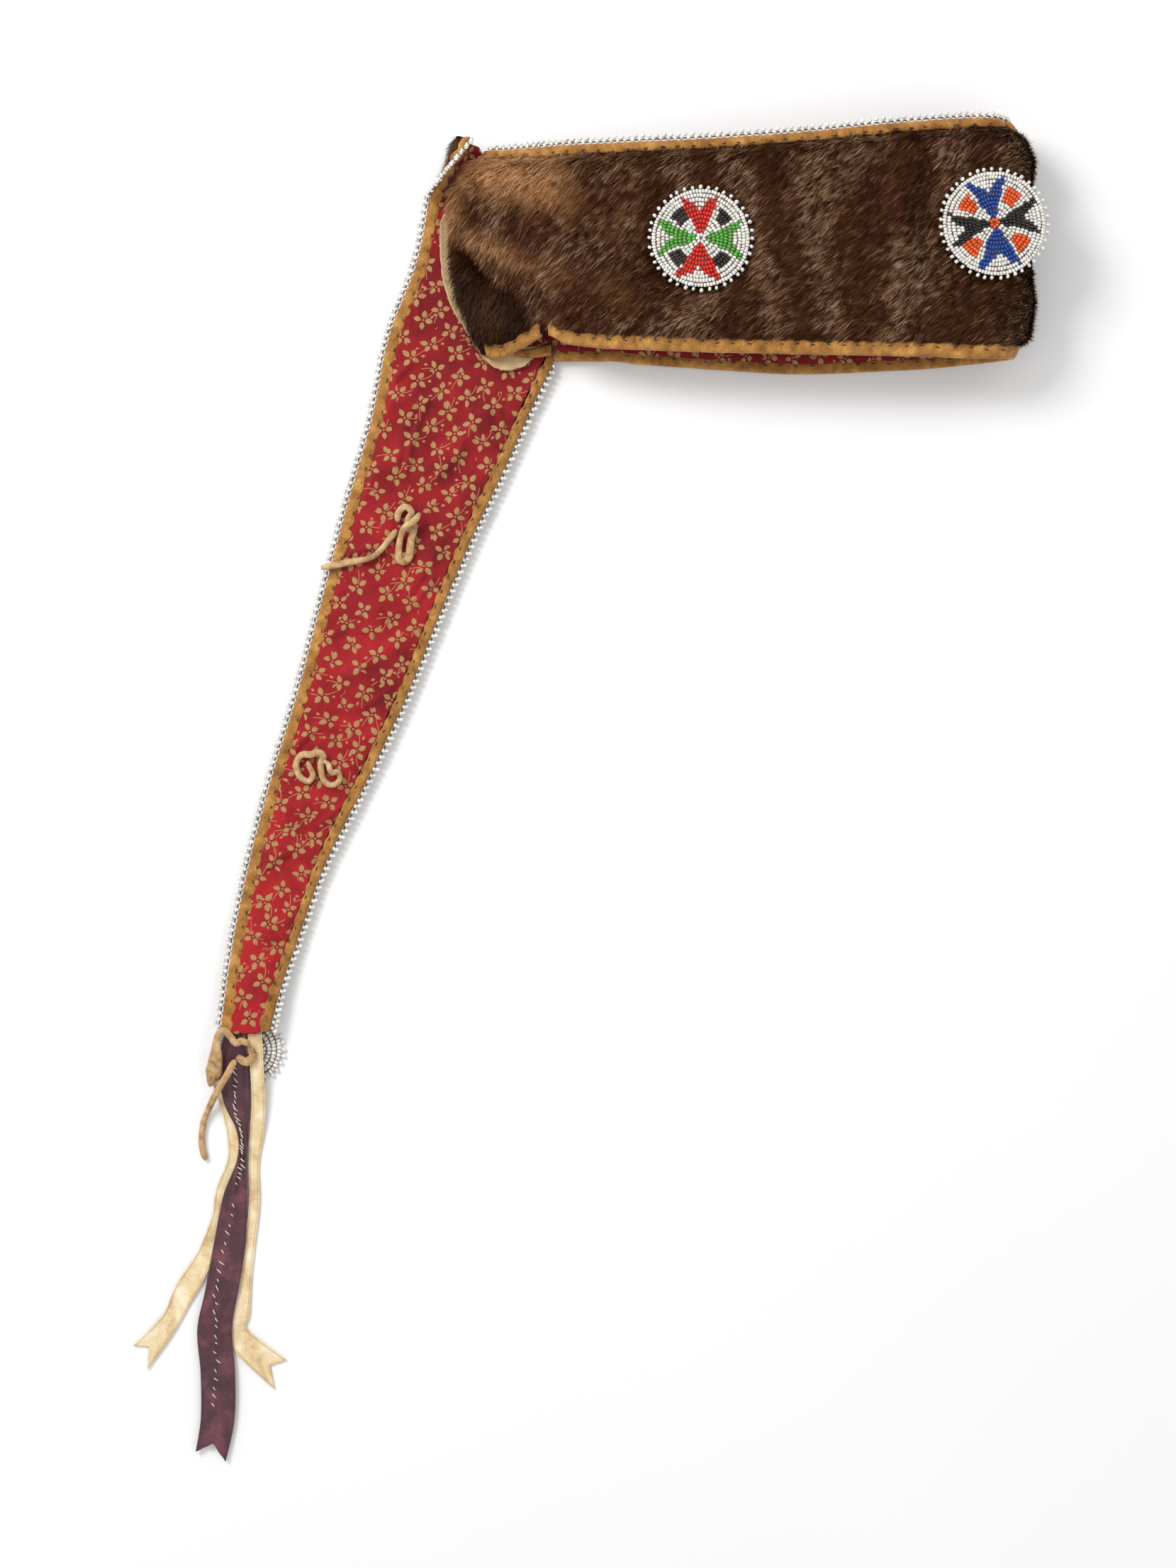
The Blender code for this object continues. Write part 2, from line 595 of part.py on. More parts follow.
def band_root_binding():
    """The mouth's binding where it runs on over the trailer's calico."""
    start, stop = Vector((-0.955, -0.535)) * BAND_WIDTH, Vector((-1.175, -0.545)) * BAND_WIDTH

    def place(u, v, w):
        middle = start.lerp(stop, u)
        y = middle.y + (v - 0.5) * BINDING_WIDTH * (1 - 0.35 * u)
        return Vector((middle.x, y, MARGIN_TOP + GAP + TAPE * w))

    shell("band_binding_root", 6, 1, place, finish("binding_root", (0.38, 0.22, 0.06), 0.75))


def hide_margin():
    def place(u, v, w):
        row = Margin(*(blend(MARGIN, u * (len(MARGIN) - 1)) * BAND_WIDTH))
        x = row.outer_x + (row.inner_x - row.outer_x) * v
        y = row.outer_y + (row.inner_y - row.outer_y) * v
        return Vector((x, y, MARGIN_TOP - HIDE * (1 - w)))

    shell("hide_margin", 24, 1, place, finish("hide", (0.62, 0.5, 0.28), 0.8))


def trailer_span(station):
    """The trailer's width over the hide at a station."""
    row = Row(*blend(ROWS, station * (len(ROWS) - 1)))
    return (row.left_out - row.right_out) * TRAILER_WIDTH


def trailer_fur():
    edge = NARROW_BINDING + 2 * GAP
    count = len(trailer_columns(TRAILER_WIDTH, edge)) + 1

    def place(u, v, w):
        span = trailer_span(u)
        across = [0.0, *trailer_columns(span, edge), 1.0][round(v * count)]
        if w == 0:
            return trailer_point(u, across, 0, 0)
        rise = ramp(min(across, 1 - across) * span, edge)
        return trailer_point(u, across, 0, HIDE + rise * FUR_CRUSHED)

    brown = finish("fur_trailer", (0.075, 0.038, 0.02), 0.7)
    flatten(shell("trailer_fur", TRAILER_STEPS, count, place, brown))


def trailer_lining():
    edge = NARROW_BINDING + GAP
    count = len(trailer_columns(TRAILER_WIDTH, edge)) - 1

    def place(u, v, w):
        across = trailer_columns(trailer_span(u), edge)[round(v * count)]
        return trailer_point(u, across, 0, -GAP - LINING * w, folds=1.0)

    red = finish("calico", (0.42, 0.014, 0.022), 0.85)
    flatten(shell("trailer_lining", TRAILER_STEPS, count, place, red))


def trailer_bindings():
    def left(station, inward, depth):
        return trailer_point(station, 0, inward, depth)

    def right(station, inward, depth):
        return trailer_point(station, 1, inward, depth)

    profile = binding_profile(NARROW_BINDING)
    ochre = (0.38, 0.22, 0.06)
    sweep("trailer_binding_left", TRAILER_STATIONS, profile, left, finish("binding_left", ochre, 0.75))
    sweep("trailer_binding_right", TRAILER_STATIONS, profile, right, finish("binding_right", ochre, 0.75))


def edge_beads():
    white = finish("white_beads", (0.84, 0.8, 0.76), 0.3)
    top = [band_point(s, 1, -BEAD_OUT, HIDE / 2) for s in BAND_STATIONS]
    left = [trailer_point(s, 0, -BEAD_OUT, HIDE / 2) for s in TRAILER_STATIONS]
    right = [trailer_point(s, 1, -BEAD_OUT, HIDE / 2) for s in TRAILER_STATIONS]
    for name, points in (("edge_beads_top", top), ("edge_beads_left", left), ("edge_beads_right", right)):
        route = [points[0]]
        for p in points[1:]:
            pieces = max(1, round((p - route[-1]).length / (3.6 * EDGE_BEAD)))
            start = route[-1]
            route += [start.lerp(p, i / pieces) for i in range(1, pieces + 1)]
        tube(name, route, EDGE_BEAD, white.copy())


def rosettes():
    top = FLOOR_TO_HIDE + RING_CLEAR * 1.03 + ROSETTE_BED + GAP
    left = disc("rosette_left", ROSETTE_LEFT_RADIUS, finish("beads_left", (0.8, 0.78, 0.74), 0.3))
    left.location = (*ROSETTE_LEFT_AT, top + 0.0003)
    right = disc("rosette_right", ROSETTE_RIGHT_RADIUS, finish("beads_right", (0.1, 0.2, 0.45), 0.3))
    right.location = (*ROSETTE_RIGHT_AT, top)
    right.rotation_euler = (0.0, ROSETTE_RIGHT_TILT, 0.0)
    tail = disc("rosette_tail", ROSETTE_TAIL_RADIUS, finish("beads_tail", (0.84, 0.8, 0.76), 0.3))
    tip = trailer_plan(TRAILER_RUN, 0)
    tail.location = (tip.x + ROSETTE_TAIL_RADIUS * 0.07, tip.y - ROSETTE_TAIL_RADIUS * 0.38, 0.0)
    tail.scale = (1.0, 1.0, 0.8)


def calico_height(point):
    """The highest that the trailer's calico stands within a tie's width of a point."""
    away = Vector((point.x, point.y)) - Vector(TRAILER_ROOT)
    down = Vector((math.cos(TRAILER_BEARING), math.sin(TRAILER_BEARING)))
    along, out = away.dot(down), away.dot(Vector((down.y, -down.x)))
    folds = [trailer_fold(along + a, out + o) for a in (-THONG, 0, THONG) for o in (-THONG, 0, THONG)]
    return LINING_TOP + max(folds)


def ties():
    buckskin = finish("buckskin", (0.55, 0.37, 0.17), 0.8)
    for name, origin, route in (("thong_upper", THONG_UPPER_AT, THONG_UPPER),
                                ("thong_upper_tail", THONG_UPPER_AT, THONG_UPPER_TAIL),
                                ("thong_middle", THONG_MIDDLE_AT, THONG_MIDDLE),
                                ("thong_end", THONG_END_AT, THONG_END),
                                ("thong_end_knot", THONG_END_AT, THONG_END_KNOT),
                                ("thong_end_tail", THONG_END_AT, THONG_END_TAIL)):
        points = smooth_route([Vector((x, y, z)) / 1000 for x, y, z in route], THONG)
        points = [Vector((p[0] + origin[0], p[1] + origin[1], p[2])) for p in points]
        if name in ("thong_upper", "thong_upper_tail", "thong_middle"):
            points = [p + Vector((0, 0, calico_height(p) + GAP + THONG / 2)) for p in points]
        tube(name, points, THONG, buckskin.copy())


def ribbons():
    tip = trailer_plan(TRAILER_RUN, 0)
    for name, table, colour in (("ribbon_purple", PURPLE, (0.1, 0.03, 0.1)),
                                ("ribbon_cream_left", CREAM_LEFT, (0.75, 0.55, 0.28)),
                                ("ribbon_cream_right", CREAM_RIGHT, (0.75, 0.55, 0.28))):
        def place(u, v, w):
            row = Strip(*blend(table, u * (len(table) - 1)))
            notch = -NOTCH * (1 - abs(2 * v - 1)) * ease(u * 6 - 5)
            end = table[-1] - table[-2]
            x = (row.left_x + (row.right_x - row.left_x) * v) * RIBBON_RUN
            y = (row.left_y + (row.right_y - row.left_y) * v) * RIBBON_RUN
            reach = math.hypot(end[0] + end[2], end[1] + end[3])
            x += notch * RIBBON_RUN * (end[0] + end[2]) / reach
            y += notch * RIBBON_RUN * (end[1] + end[3]) / reach
            return Vector((tip.x + x, tip.y + y, row.height * 0.001 + RIBBON * w))

        shell(name, 24, 2, place, finish(name + "_silk", colour, 0.35))


for old in list(bpy.data.objects):
    bpy.data.objects.remove(old, do_unlink=True)
turban = bpy.data.collections.new("fur_turban")
bpy.context.scene.collection.children.link(turban)

band_fur()
band_lining()
band_bindings()
band_root_binding()
hide_margin()
trailer_fur()
trailer_lining()
trailer_bindings()
edge_beads()
rosettes()
ties()
ribbons()
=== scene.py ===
"""Looks of a fur turban that lies flat: a folded fur band, a long trailer lined with printed calico,
seed-bead edges and rosettes, buckskin ties and silk ribbons.

Metres, +Z up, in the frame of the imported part. +X is to the right along the band, +Y across the band
towards its beaded edge. The surface that it lies on is at z = 0.
"""

import math
from collections import namedtuple

import bmesh
import bpy
import numpy as np
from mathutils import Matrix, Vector


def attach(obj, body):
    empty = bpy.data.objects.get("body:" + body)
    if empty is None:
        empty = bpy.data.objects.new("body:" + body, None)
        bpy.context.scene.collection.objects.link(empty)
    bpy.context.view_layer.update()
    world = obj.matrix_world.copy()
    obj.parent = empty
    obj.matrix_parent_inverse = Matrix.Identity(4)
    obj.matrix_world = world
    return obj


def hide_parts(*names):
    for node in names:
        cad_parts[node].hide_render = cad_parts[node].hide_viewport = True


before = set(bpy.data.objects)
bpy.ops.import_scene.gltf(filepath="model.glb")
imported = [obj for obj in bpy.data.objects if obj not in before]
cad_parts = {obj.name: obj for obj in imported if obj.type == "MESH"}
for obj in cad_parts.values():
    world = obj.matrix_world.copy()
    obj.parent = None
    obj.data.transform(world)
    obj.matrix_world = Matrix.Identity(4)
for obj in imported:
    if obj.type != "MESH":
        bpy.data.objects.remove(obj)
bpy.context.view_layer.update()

# Camera: straight above the middle of the photograph's frame
CAMERA_AT = (-0.0775, -0.26635, 1.25)
LENS = 58.1
SENSOR = 36.0

# Layers of the strip, as in the part
HIDE = 0.0015
LINING = 0.001
TAPE = 0.0011
GAP = 0.00035
FUR = 0.0055
FUR_CRUSHED = 0.0035
FUR_RAMP = 0.004
BINDING_WIDTH = 0.0055
NARROW_BINDING = 0.0032
BAND_LENGTH = 0.285
BAND_WIDTH = 0.100
BAND_LEFT = -0.145
RING_CLEAR = 0.030
FOLD_SETBACK = 0.022
LOCK_DEPTH = 0.0013
LOCK_PITCH = 0.018
RIPPLE_DEPTH = 0.0007
RIPPLE_PITCH = 0.023
TRAILER_RUN = 0.408
TRAILER_WIDTH = 0.090
TRAILER_ROOT = (-0.1115, -0.0055)
TRAILER_BEARING = math.radians(-109.23)
CURL_START = 0.038
CURL_RADIUS = 0.0055
FOLD_HEIGHT = 0.0038
TIP_LIFT = 0.0031
EDGE_BEAD = 0.0028
ROSETTE_THICK = 0.0026
ROSETTE_DOME = 0.0009
ROSETTE_BED = 0.004
ROSETTE_LEFT_RADIUS = 0.0250
ROSETTE_RIGHT_RADIUS = 0.0264
ROSETTE_TAIL_RADIUS = 0.0175
ROSETTE_LEFT_AT = (-0.0236, -0.0059)
ROSETTE_RIGHT_AT = (0.1164, 0.0013)
ROSETTE_RIGHT_TILT = math.radians(4.0)
THONG = 0.0032
RIBBON = 0.0008
RIBBON_RUN = 0.196

# Fur
UNDERFUR_DROP = 0.0018
HAIR_LEAN_LEFT = math.radians(60)
HAIR_LEAN_RIGHT = math.radians(40)

# Beads
SEED_BEAD = 0.0021
EDGE_PITCH = 0.0034
EDGE_SEED = 0.0024
RING_PITCH = 0.00204
BEAD_PITCH = 0.00150

# Stitches, and the tapes' widths on the calico side
TAPE_SHOWN = 0.0044
MOUTH_SHOWN = 0.0038
STITCH_PITCH = 0.0075
STITCH_LONG = 0.0030
STITCH_WIDE = 0.0006

WHITE = (0.80, 0.78, 0.73)
RED = (0.62, 0.012, 0.008)
GREEN = (0.09, 0.38, 0.05)
BLACK = (0.008, 0.008, 0.009)
BLUE = (0.004, 0.055, 0.30)
ORANGE = (0.83, 0.10, 0.008)

Edge = namedtuple("Edge", "along upper_south upper_north lower_south lower_north")
EDGES = np.array([
    Edge(0.00, -0.560, 0.425, -0.570, 0.370),
    Edge(0.05, -0.565, 0.422, -0.570, 0.370),
    Edge(0.11, -0.515, 0.415, -0.570, 0.372),
    Edge(0.155, -0.475, 0.410, -0.570, 0.374),
    Edge(0.20, -0.525, 0.407, -0.584, 0.376),
    Edge(0.27, -0.555, 0.406, -0.594, 0.382),
    Edge(0.42, -0.577, 0.415, -0.614, 0.398),
    Edge(0.60, -0.590, 0.447, -0.632, 0.435),
    Edge(0.80, -0.600, 0.500, -0.611, 0.485),
    Edge(0.92, -0.610, 0.518, -0.585, 0.500),
    Edge(1.00, -0.600, 0.512, -0.568, 0.505),
])

Rise = namedtuple("Rise", "along height")
RISES = np.array([
    Rise(0.00, 0.162),
    Rise(0.03, 0.195),
    Rise(0.06, 0.270),
    Rise(0.10, 0.400),
    Rise(0.15, 0.580),
    Rise(0.22, 0.780),
    Rise(0.34, 0.960),
    Rise(0.52, 1.030),
    Rise(0.72, 1.040),
    Rise(0.925, 1.000),
])

LeftEnd = namedtuple("LeftEnd", "across inset")
LEFT_END = np.array([
    LeftEnd(0.00, 0.053),
    LeftEnd(0.10, 0.040),
    LeftEnd(0.20, 0.027),
    LeftEnd(0.30, 0.013),
    LeftEnd(0.45, 0.004),
    LeftEnd(0.70, 0.001),
    LeftEnd(0.80, 0.003),
    LeftEnd(0.87, 0.016),
    LeftEnd(0.94, 0.034),
    LeftEnd(1.00, 0.058),
])

Dent = namedtuple("Dent", "from_x from_y to_x to_y deep wide")
DENTS = [
    Dent(-1.42, 0.00, -1.02, -0.42, 0.42, 0.045),
    Dent(-1.10, 0.20, -0.75, 0.02, 0.16, 0.060),
    Dent(0.55, -0.30, 0.62, 0.30, 0.14, 0.050),
]

Row = namedtuple("Row", "left_along left_out right_along right_out curl lift")
ROWS = np.array([
    Row(-0.105, 0.620, 0.107, -0.365, 1.00, 0.0),
    Row(-0.060, 0.594, 0.120, -0.355, 0.88, 0.0),
    Row(-0.035, 0.570, 0.130, -0.350, 0.76, 0.0),
    Row(-0.010, 0.530, 0.140, -0.345, 0.40, 0.0),
    Row(0.057, 0.495, 0.179, -0.325, 0.00, 0.0),
    Row(0.148, 0.505, 0.255, -0.295, 0.00, 0.0),
    Row(0.246, 0.445, 0.339, -0.255, 0.00, 0.0),
    Row(0.361, 0.415, 0.446, -0.225, 0.00, 0.0),
    Row(0.464, 0.380, 0.557, -0.200, 0.00, 0.0),
    Row(0.588, 0.335, 0.657, -0.150, 0.00, 0.0),
    Row(0.703, 0.315, 0.767, -0.087, 0.00, 0.0),
    Row(0.808, 0.275, 0.858, -0.080, 0.00, 0.0),
    Row(0.900, 0.215, 0.930, -0.080, 0.00, 0.7),
    Row(1.000, 0.125, 0.985, -0.100, 0.00, 1.0),
])
MITRE_BEND = 0.23

# Folds stand up from the pelt; creases are the narrow valleys beside them
Fold = namedtuple("Fold", "along out bearing long wide high")
FOLDS = [
    Fold(0.085, 0.39, 84, 0.30, 0.050, 0.80),
    Fold(0.200, 0.22, 62, 0.34, 0.055, 0.75),
    Fold(0.235, -0.05, 18, 0.30, 0.050, 0.90),
    Fold(0.300, 0.30, 30, 0.26, 0.050, 0.55),
    Fold(0.345, -0.12, 8, 0.24, 0.045, 0.70),
    Fold(0.440, 0.18, -35, 0.26, 0.060, 0.60),
    Fold(0.520, 0.02, 40, 0.24, 0.050, 0.65),
    Fold(0.610, 0.17, -28, 0.22, 0.050, 0.50),
    Fold(0.690, 0.05, 32, 0.22, 0.050, 0.60),
    Fold(0.790, 0.12, -38, 0.16, 0.045, 0.55),
    Fold(0.860, 0.03, 36, 0.15, 0.040, 0.50),
]

Margin = namedtuple("Margin", "outer_x outer_y inner_x inner_y")
MARGIN = np.array([
    Margin(-1.485, 0.130, -1.380, 0.130),
    Margin(-1.500, 0.070, -1.400, 0.070),
    Margin(-1.495, -0.140, -1.395, -0.120),
    Margin(-1.450, -0.310, -1.350, -0.270),
    Margin(-1.365, -0.460, -1.280, -0.400),
    Margin(-1.275, -0.586, -1.220, -0.490),
    Margin(-1.200, -0.632, -1.170, -0.520),
    Margin(-1.110, -0.622, -1.100, -0.520),
    Margin(-1.045, -0.575, -1.030, -0.515),
])

Strip = namedtuple("Strip", "left_x left_y right_x right_y height")
PURPLE = np.array([
    Strip(-0.052, 0.008, -0.008, 0.008, 6.0),
    Strip(-0.070, -0.070, 0.008, -0.070, 4.0),
    Strip(-0.056, -0.165, 0.011, -0.165, 2.6),
    Strip(-0.024, -0.240, 0.006, -0.240, 1.6),
    Strip(-0.024, -0.310, 0.002, -0.310, 1.6),
    Strip(-0.058, -0.400, 0.003, -0.400, 1.6),
    Strip(-0.082, -0.520, -0.002, -0.520, 1.6),
    Strip(-0.104, -0.640, -0.018, -0.630, 1.6),
    Strip(-0.124, -0.740, -0.036, -0.735, 1.6),
    Strip(-0.115, -0.850, -0.028, -0.850, 1.6),
    Strip(-0.115, -0.960, -0.030, -0.965, 1.6),
    Strip(-0.128, -1.045, -0.052, -1.070, 1.6),
])
CREAM_RIGHT = np.array([
    Strip(0.006, 0.010, 0.042, 0.009, 6.4),
    Strip(0.012, -0.080, 0.046, -0.080, 5.2),
    Strip(0.014, -0.165, 0.048, -0.165, 3.2),
    Strip(0.008, -0.245, 0.043, -0.245, 0.5),
    Strip(0.004, -0.325, 0.031, -0.325, 0.3),
    Strip(0.005, -0.430, 0.031, -0.430, 0.3),
    Strip(-0.018, -0.590, 0.014, -0.590, 0.3),
    Strip(-0.046, -0.710, 0.006, -0.700, 0.3),
    Strip(-0.038, -0.780, 0.000, -0.735, 0.3),
    Strip(0.004, -0.828, 0.040, -0.770, 0.5),
    Strip(0.070, -0.890, 0.100, -0.815, 0.3),
])
CREAM_LEFT = np.array([
    Strip(-0.086, -0.122, -0.052, -0.122, 0.3),
    Strip(-0.064, -0.185, -0.032, -0.185, 0.3),
    Strip(-0.050, -0.250, -0.018, -0.250, 0.3),
    Strip(-0.048, -0.310, -0.016, -0.310, 0.3),
    Strip(-0.077, -0.385, -0.042, -0.385, 0.3),
    Strip(-0.087, -0.450, -0.050, -0.450, 0.3),
    Strip(-0.122, -0.540, -0.082, -0.560, 0.3),
    Strip(-0.180, -0.630, -0.140, -0.670, 0.3),
    Strip(-0.210, -0.700, -0.178, -0.735, 0.3),
    Strip(-0.286, -0.780, -0.250, -0.840, 0.3),
])
NOTCH = 0.035

# Routes of the ties in millimetres, as in the part
THONG_UPPER = [(-4.8, -1.0, 1.0), (-4.6, 3.6, 1.0), (-1.0, 6.4, 1.8), (2.0, 3.6, 1.2),
               (0.2, -0.6, 1.0), (3.0, -3.6, 1.2), (1.6, -10.0, 0.6), (0.6, -18.0, 0.4),
               (-2.6, -20.6, 0.4), (-4.6, -17.6, 0.4), (-3.6, -9.0, 1.0), (-1.4, -4.4, 5.0),
               (3.4, -1.0, 5.2), (6.0, 3.0, 3.6)]
THONG_UPPER_TAIL = [(-5.4, -4.8, 0.2), (-9.0, -9.2, 0.2), (-13.2, -14.6, 0.4), (-18.4, -18.8, 0.6),
                    (-27.4, -20.6, 0.4), (-35.2, -22.0, 0.0), (-42.6, -23.4, -0.2)]
THONG_UPPER_AT = (-0.1659, -0.1369)
THONG_MIDDLE = [(-6.4, 3.2, 0.2), (-5.4, 0.4, 0.2), (-3.6, -3.2, 0.2), (-5.6, -6.6, 0.2), (-9.4, -5.0, 0.2),
                (-11.8, -0.6, 0.2), (-11.4, 3.8, 0.4), (-8.6, 6.6, 1.2), (-4.4, 6.4, 2.0), (-1.2, 7.6, 1.2),
                (1.6, 5.8, 0.6), (0.2, 1.6, 0.4), (0.8, -3.2, 0.4), (2.8, -7.4, 0.4), (6.4, -8.4, 0.4),
                (9.6, -5.8, 0.4), (8.8, -2.0, 1.0), (5.8, -2.4, 3.8), (4.4, 1.6, 4.2), (2.2, 3.4, 4.2)]
THONG_MIDDLE_AT = (-0.2087, -0.2584)
THONG_END = [(4.6, 5.2, 12.4), (0.6, 7.2, 12.4), (-2.4, 6.0, 12.0), (-5.4, 9.6, 11.6), (-8.8, 12.4, 11.4),
             (-11.6, 8.6, 11.2), (-12.4, 0.0, 10.6), (-13.8, -8.0, 7.0), (-16.2, -16.0, 5.0)]
THONG_END_TAIL = [(-2.9, -2.5, 9.3), (-4.6, -5.2, 10.2), (-7.4, -10.4, 9.8), (-10.6, -15.4, 8.6),
                  (-13.6, -20.6, 6.4), (-18.0, -29.6, 2.8), (-20.0, -35.2, 1.9), (-20.6, -45.0, 1.9),
                  (-18.6, -52.6, 1.9)]
THONG_END_KNOT = [(3.4, 4.4, 9.0), (5.6, -0.4, 8.6), (2.0, -3.6, 8.4), (-2.2, -0.6, 9.0)]
THONG_END_AT = (-0.2474, -0.3992)

LINING_TOP = HIDE + FUR_CRUSHED + GAP + LINING
MARGIN_TOP = LINING_TOP + 2 * GAP + HIDE
FLOOR_TO_HIDE = HIDE + FUR_CRUSHED
BEAD_OUT = GAP + TAPE + GAP + EDGE_BEAD / 2


def ease(value):
    """0 below 0, 1 above 1, and smooth between."""
    t = min(1.0, max(0.0, value))
    return t * t * (3 - 2 * t)


def blend(table, position):
    """The table's row at a position counted in rows, on a smooth curve through the rows."""
    last = len(table) - 1
    position = min(float(last), max(0.0, position))
    i = min(last - 1, int(position))
    t = position - i
    before, after = table[max(0, i - 1)], table[min(last, i + 2)]
    here, there = table[i], table[i + 1]
    slope_here, slope_there = (there - before) / 2, (after - here) / 2
    return (here * (2 * t**3 - 3 * t**2 + 1) + slope_here * (t**3 - 2 * t**2 + t)
            + there * (3 * t**2 - 2 * t**3) + slope_there * (t**3 - t**2))


def follow(table, value):
    """The table's row where its first column has this value."""
    keys = table[:, 0]
    i = int(np.clip(np.searchsorted(keys, value) - 1, 0, len(keys) - 2))
    return blend(table, i + (value - keys[i]) / (keys[i + 1] - keys[i]))


def trailer_plan(along, out):
    """The place on the surface of a point given along and across the trailer's axis."""
    down = Vector((math.cos(TRAILER_BEARING), math.sin(TRAILER_BEARING)))
    side = Vector((down.y, -down.x))
    return Vector(TRAILER_ROOT) + down * along + side * out


def trailer_flat(point):
    """The (along, out) of a place on the surface."""
    away = Vector((point[0], point[1])) - Vector(TRAILER_ROOT)
    down = Vector((math.cos(TRAILER_BEARING), math.sin(TRAILER_BEARING)))
    return away.dot(down), away.dot(Vector((down.y, -down.x)))


def trailer_fold(along, out):
    """How far the calico stands up in folds over the pelt."""
    high = 0.0
    for f in FOLDS:
        da = along - f.along * TRAILER_RUN
        do = out - f.out * TRAILER_WIDTH
        turn = math.radians(f.bearing)
        run = da * math.cos(turn) + do * math.sin(turn)
        off = do * math.cos(turn) - da * math.sin(turn)
        long, wide = f.long * TRAILER_WIDTH, f.wide * TRAILER_WIDTH
        high = max(high, f.high * math.exp(-(run / long) ** 4 - (off / wide) ** 2))
    return high * FOLD_HEIGHT


def fold_fade(along, out):
    """No fold under the seam where the band's left end is sewn down, nor at the trailer's tip."""
    place = trailer_plan(along, out)
    beside = ease((BAND_LEFT - 0.012 - place.x) / 0.010)
    below = ease((-0.72 * BAND_WIDTH - place.y) / 0.010)
    return max(beside, below) * ease((0.97 * TRAILER_RUN - along) / 0.02)


def trailer_point(down, across, inward, depth, folds=0.0):
    """A point of the trailer. down: 0 at the root to 1 at the tip; across: 0 at the left edge to 1 at
    the right; inward: metres added from the nearer edge; depth: metres under the hide's upper face."""
    row = Row(*blend(ROWS, down * (len(ROWS) - 1)))
    left, right = row.left_out * TRAILER_WIDTH, row.right_out * TRAILER_WIDTH
    share = across + (inward / (left - right) if across < 0.5 else -inward / (left - right))
    out = left + (right - left) * share
    slant = max(0.0, (share - MITRE_BEND) / (1 - MITRE_BEND))
    along = (row.left_along + (row.right_along - row.left_along) * slant) * TRAILER_RUN
    base = FLOOR_TO_HIDE + max(0.0, row.lift) * TIP_LIFT
    if folds:
        depth -= folds * (trailer_fold(along, out) + wrinkle(along, out)) * fold_fade(along, out)
    if row.curl > 0.01 and out > CURL_START:
        radius = CURL_RADIUS / row.curl
        arc = out - CURL_START
        bent = min(arc, max(0.0, left - CURL_START - NARROW_BINDING - 7 * GAP))
        turn = min(bent / radius, math.pi)
        rest = arc - turn * radius
        out = CURL_START + (radius + depth) * math.sin(turn) + rest * math.cos(turn)
        height = base + radius - (radius + depth) * math.cos(turn) + rest * math.sin(turn)
    else:
        height = base - depth
    place = trailer_plan(along, out)
    return Vector((place.x, place.y, height))


MITRE_SOUTH = trailer_point(0, 1, 0, 0)
MITRE_NORTH = trailer_point(0, MITRE_BEND, 0, 0)


def mitre_x(y):
    """Where the seam between the trailer and the band's lower wall runs."""
    share = (y - MITRE_SOUTH.y) / (MITRE_NORTH.y - MITRE_SOUTH.y)
    return MITRE_SOUTH.x + share * (MITRE_NORTH.x - MITRE_SOUTH.x)


def band_path(station):
    """(x, z, side) of the hide's inner face. station: 0 to 1 lower wall, 1 to 2 fold at the right,
    2 to 3 upper wall; side: 0 lower, 1 upper."""
    fold_x = BAND_LEFT + BAND_LENGTH - FOLD_SETBACK
    radius = RING_CLEAR / 2
    if station <= 1:
        return BAND_LEFT + (fold_x - BAND_LEFT) * station, FLOOR_TO_HIDE, 0.0
    if station <= 2:
        turn = (station - 1) * math.pi
        return (fold_x + radius * math.sin(turn), FLOOR_TO_HIDE + radius * (1 - math.cos(turn)),
                (1 - math.cos(turn)) / 2)
    x = fold_x + (BAND_LEFT - fold_x) * (station - 2)
    rise = follow(RISES, (x - BAND_LEFT) / BAND_LENGTH)[1]
    return x, FLOOR_TO_HIDE + rise * RING_CLEAR, 1.0


def band_row(station):
    """What band_point needs of a station, worked out once for a whole row of points."""
    step = 0.002
    x, z, side = band_path(station)
    x0, z0, _ = band_path(max(0.0, station - step))
    x1, z1, _ = band_path(min(3.0, station + step))
    run = math.hypot(x1 - x0, z1 - z0)
    share = min(1.0, max(0.0, (x - BAND_LEFT) / BAND_LENGTH))
    edge = Edge(*follow(EDGES, share))
    south = (edge.lower_south + (edge.upper_south - edge.lower_south) * side) * BAND_WIDTH
    north = (edge.lower_north + (edge.upper_north - edge.lower_north) * side) * BAND_WIDTH
    return x, z, side, (z1 - z0) / run, -(x1 - x0) / run, south, north


def band_point(row, across, inward, depth):
    """A point of the band. across: 0 at the mouth's edge to 1 at the beaded edge; inward: metres from
    the nearer edge; depth: metres out of the ring from the hide's inner face."""
    x, z, side, normal_x, normal_z, south, north = row
    y = south + (north - south) * across + (inward if across < 0.5 else -inward)
    across = (y - south) / (north - south)
    if side < 0.5:
        start = mitre_x(y) + GAP
        reach = 0.6 * BAND_LENGTH
    else:
        start = BAND_LEFT + follow(LEFT_END, min(1.0, max(0.0, across)))[1] * BAND_LENGTH
        reach = 0.2 * BAND_LENGTH
    fade = max(0.0, 1 - (x - BAND_LEFT) / reach)
    slack = FOLD_SETBACK * 0.25 * min(1.0,
                                      (2 * across - 1) ** 4) * ease((x - BAND_LEFT) / BAND_LENGTH * 8 - 6.6)
    return Vector((x + (start - BAND_LEFT) * fade - slack + normal_x * depth, y, z + normal_z * depth))


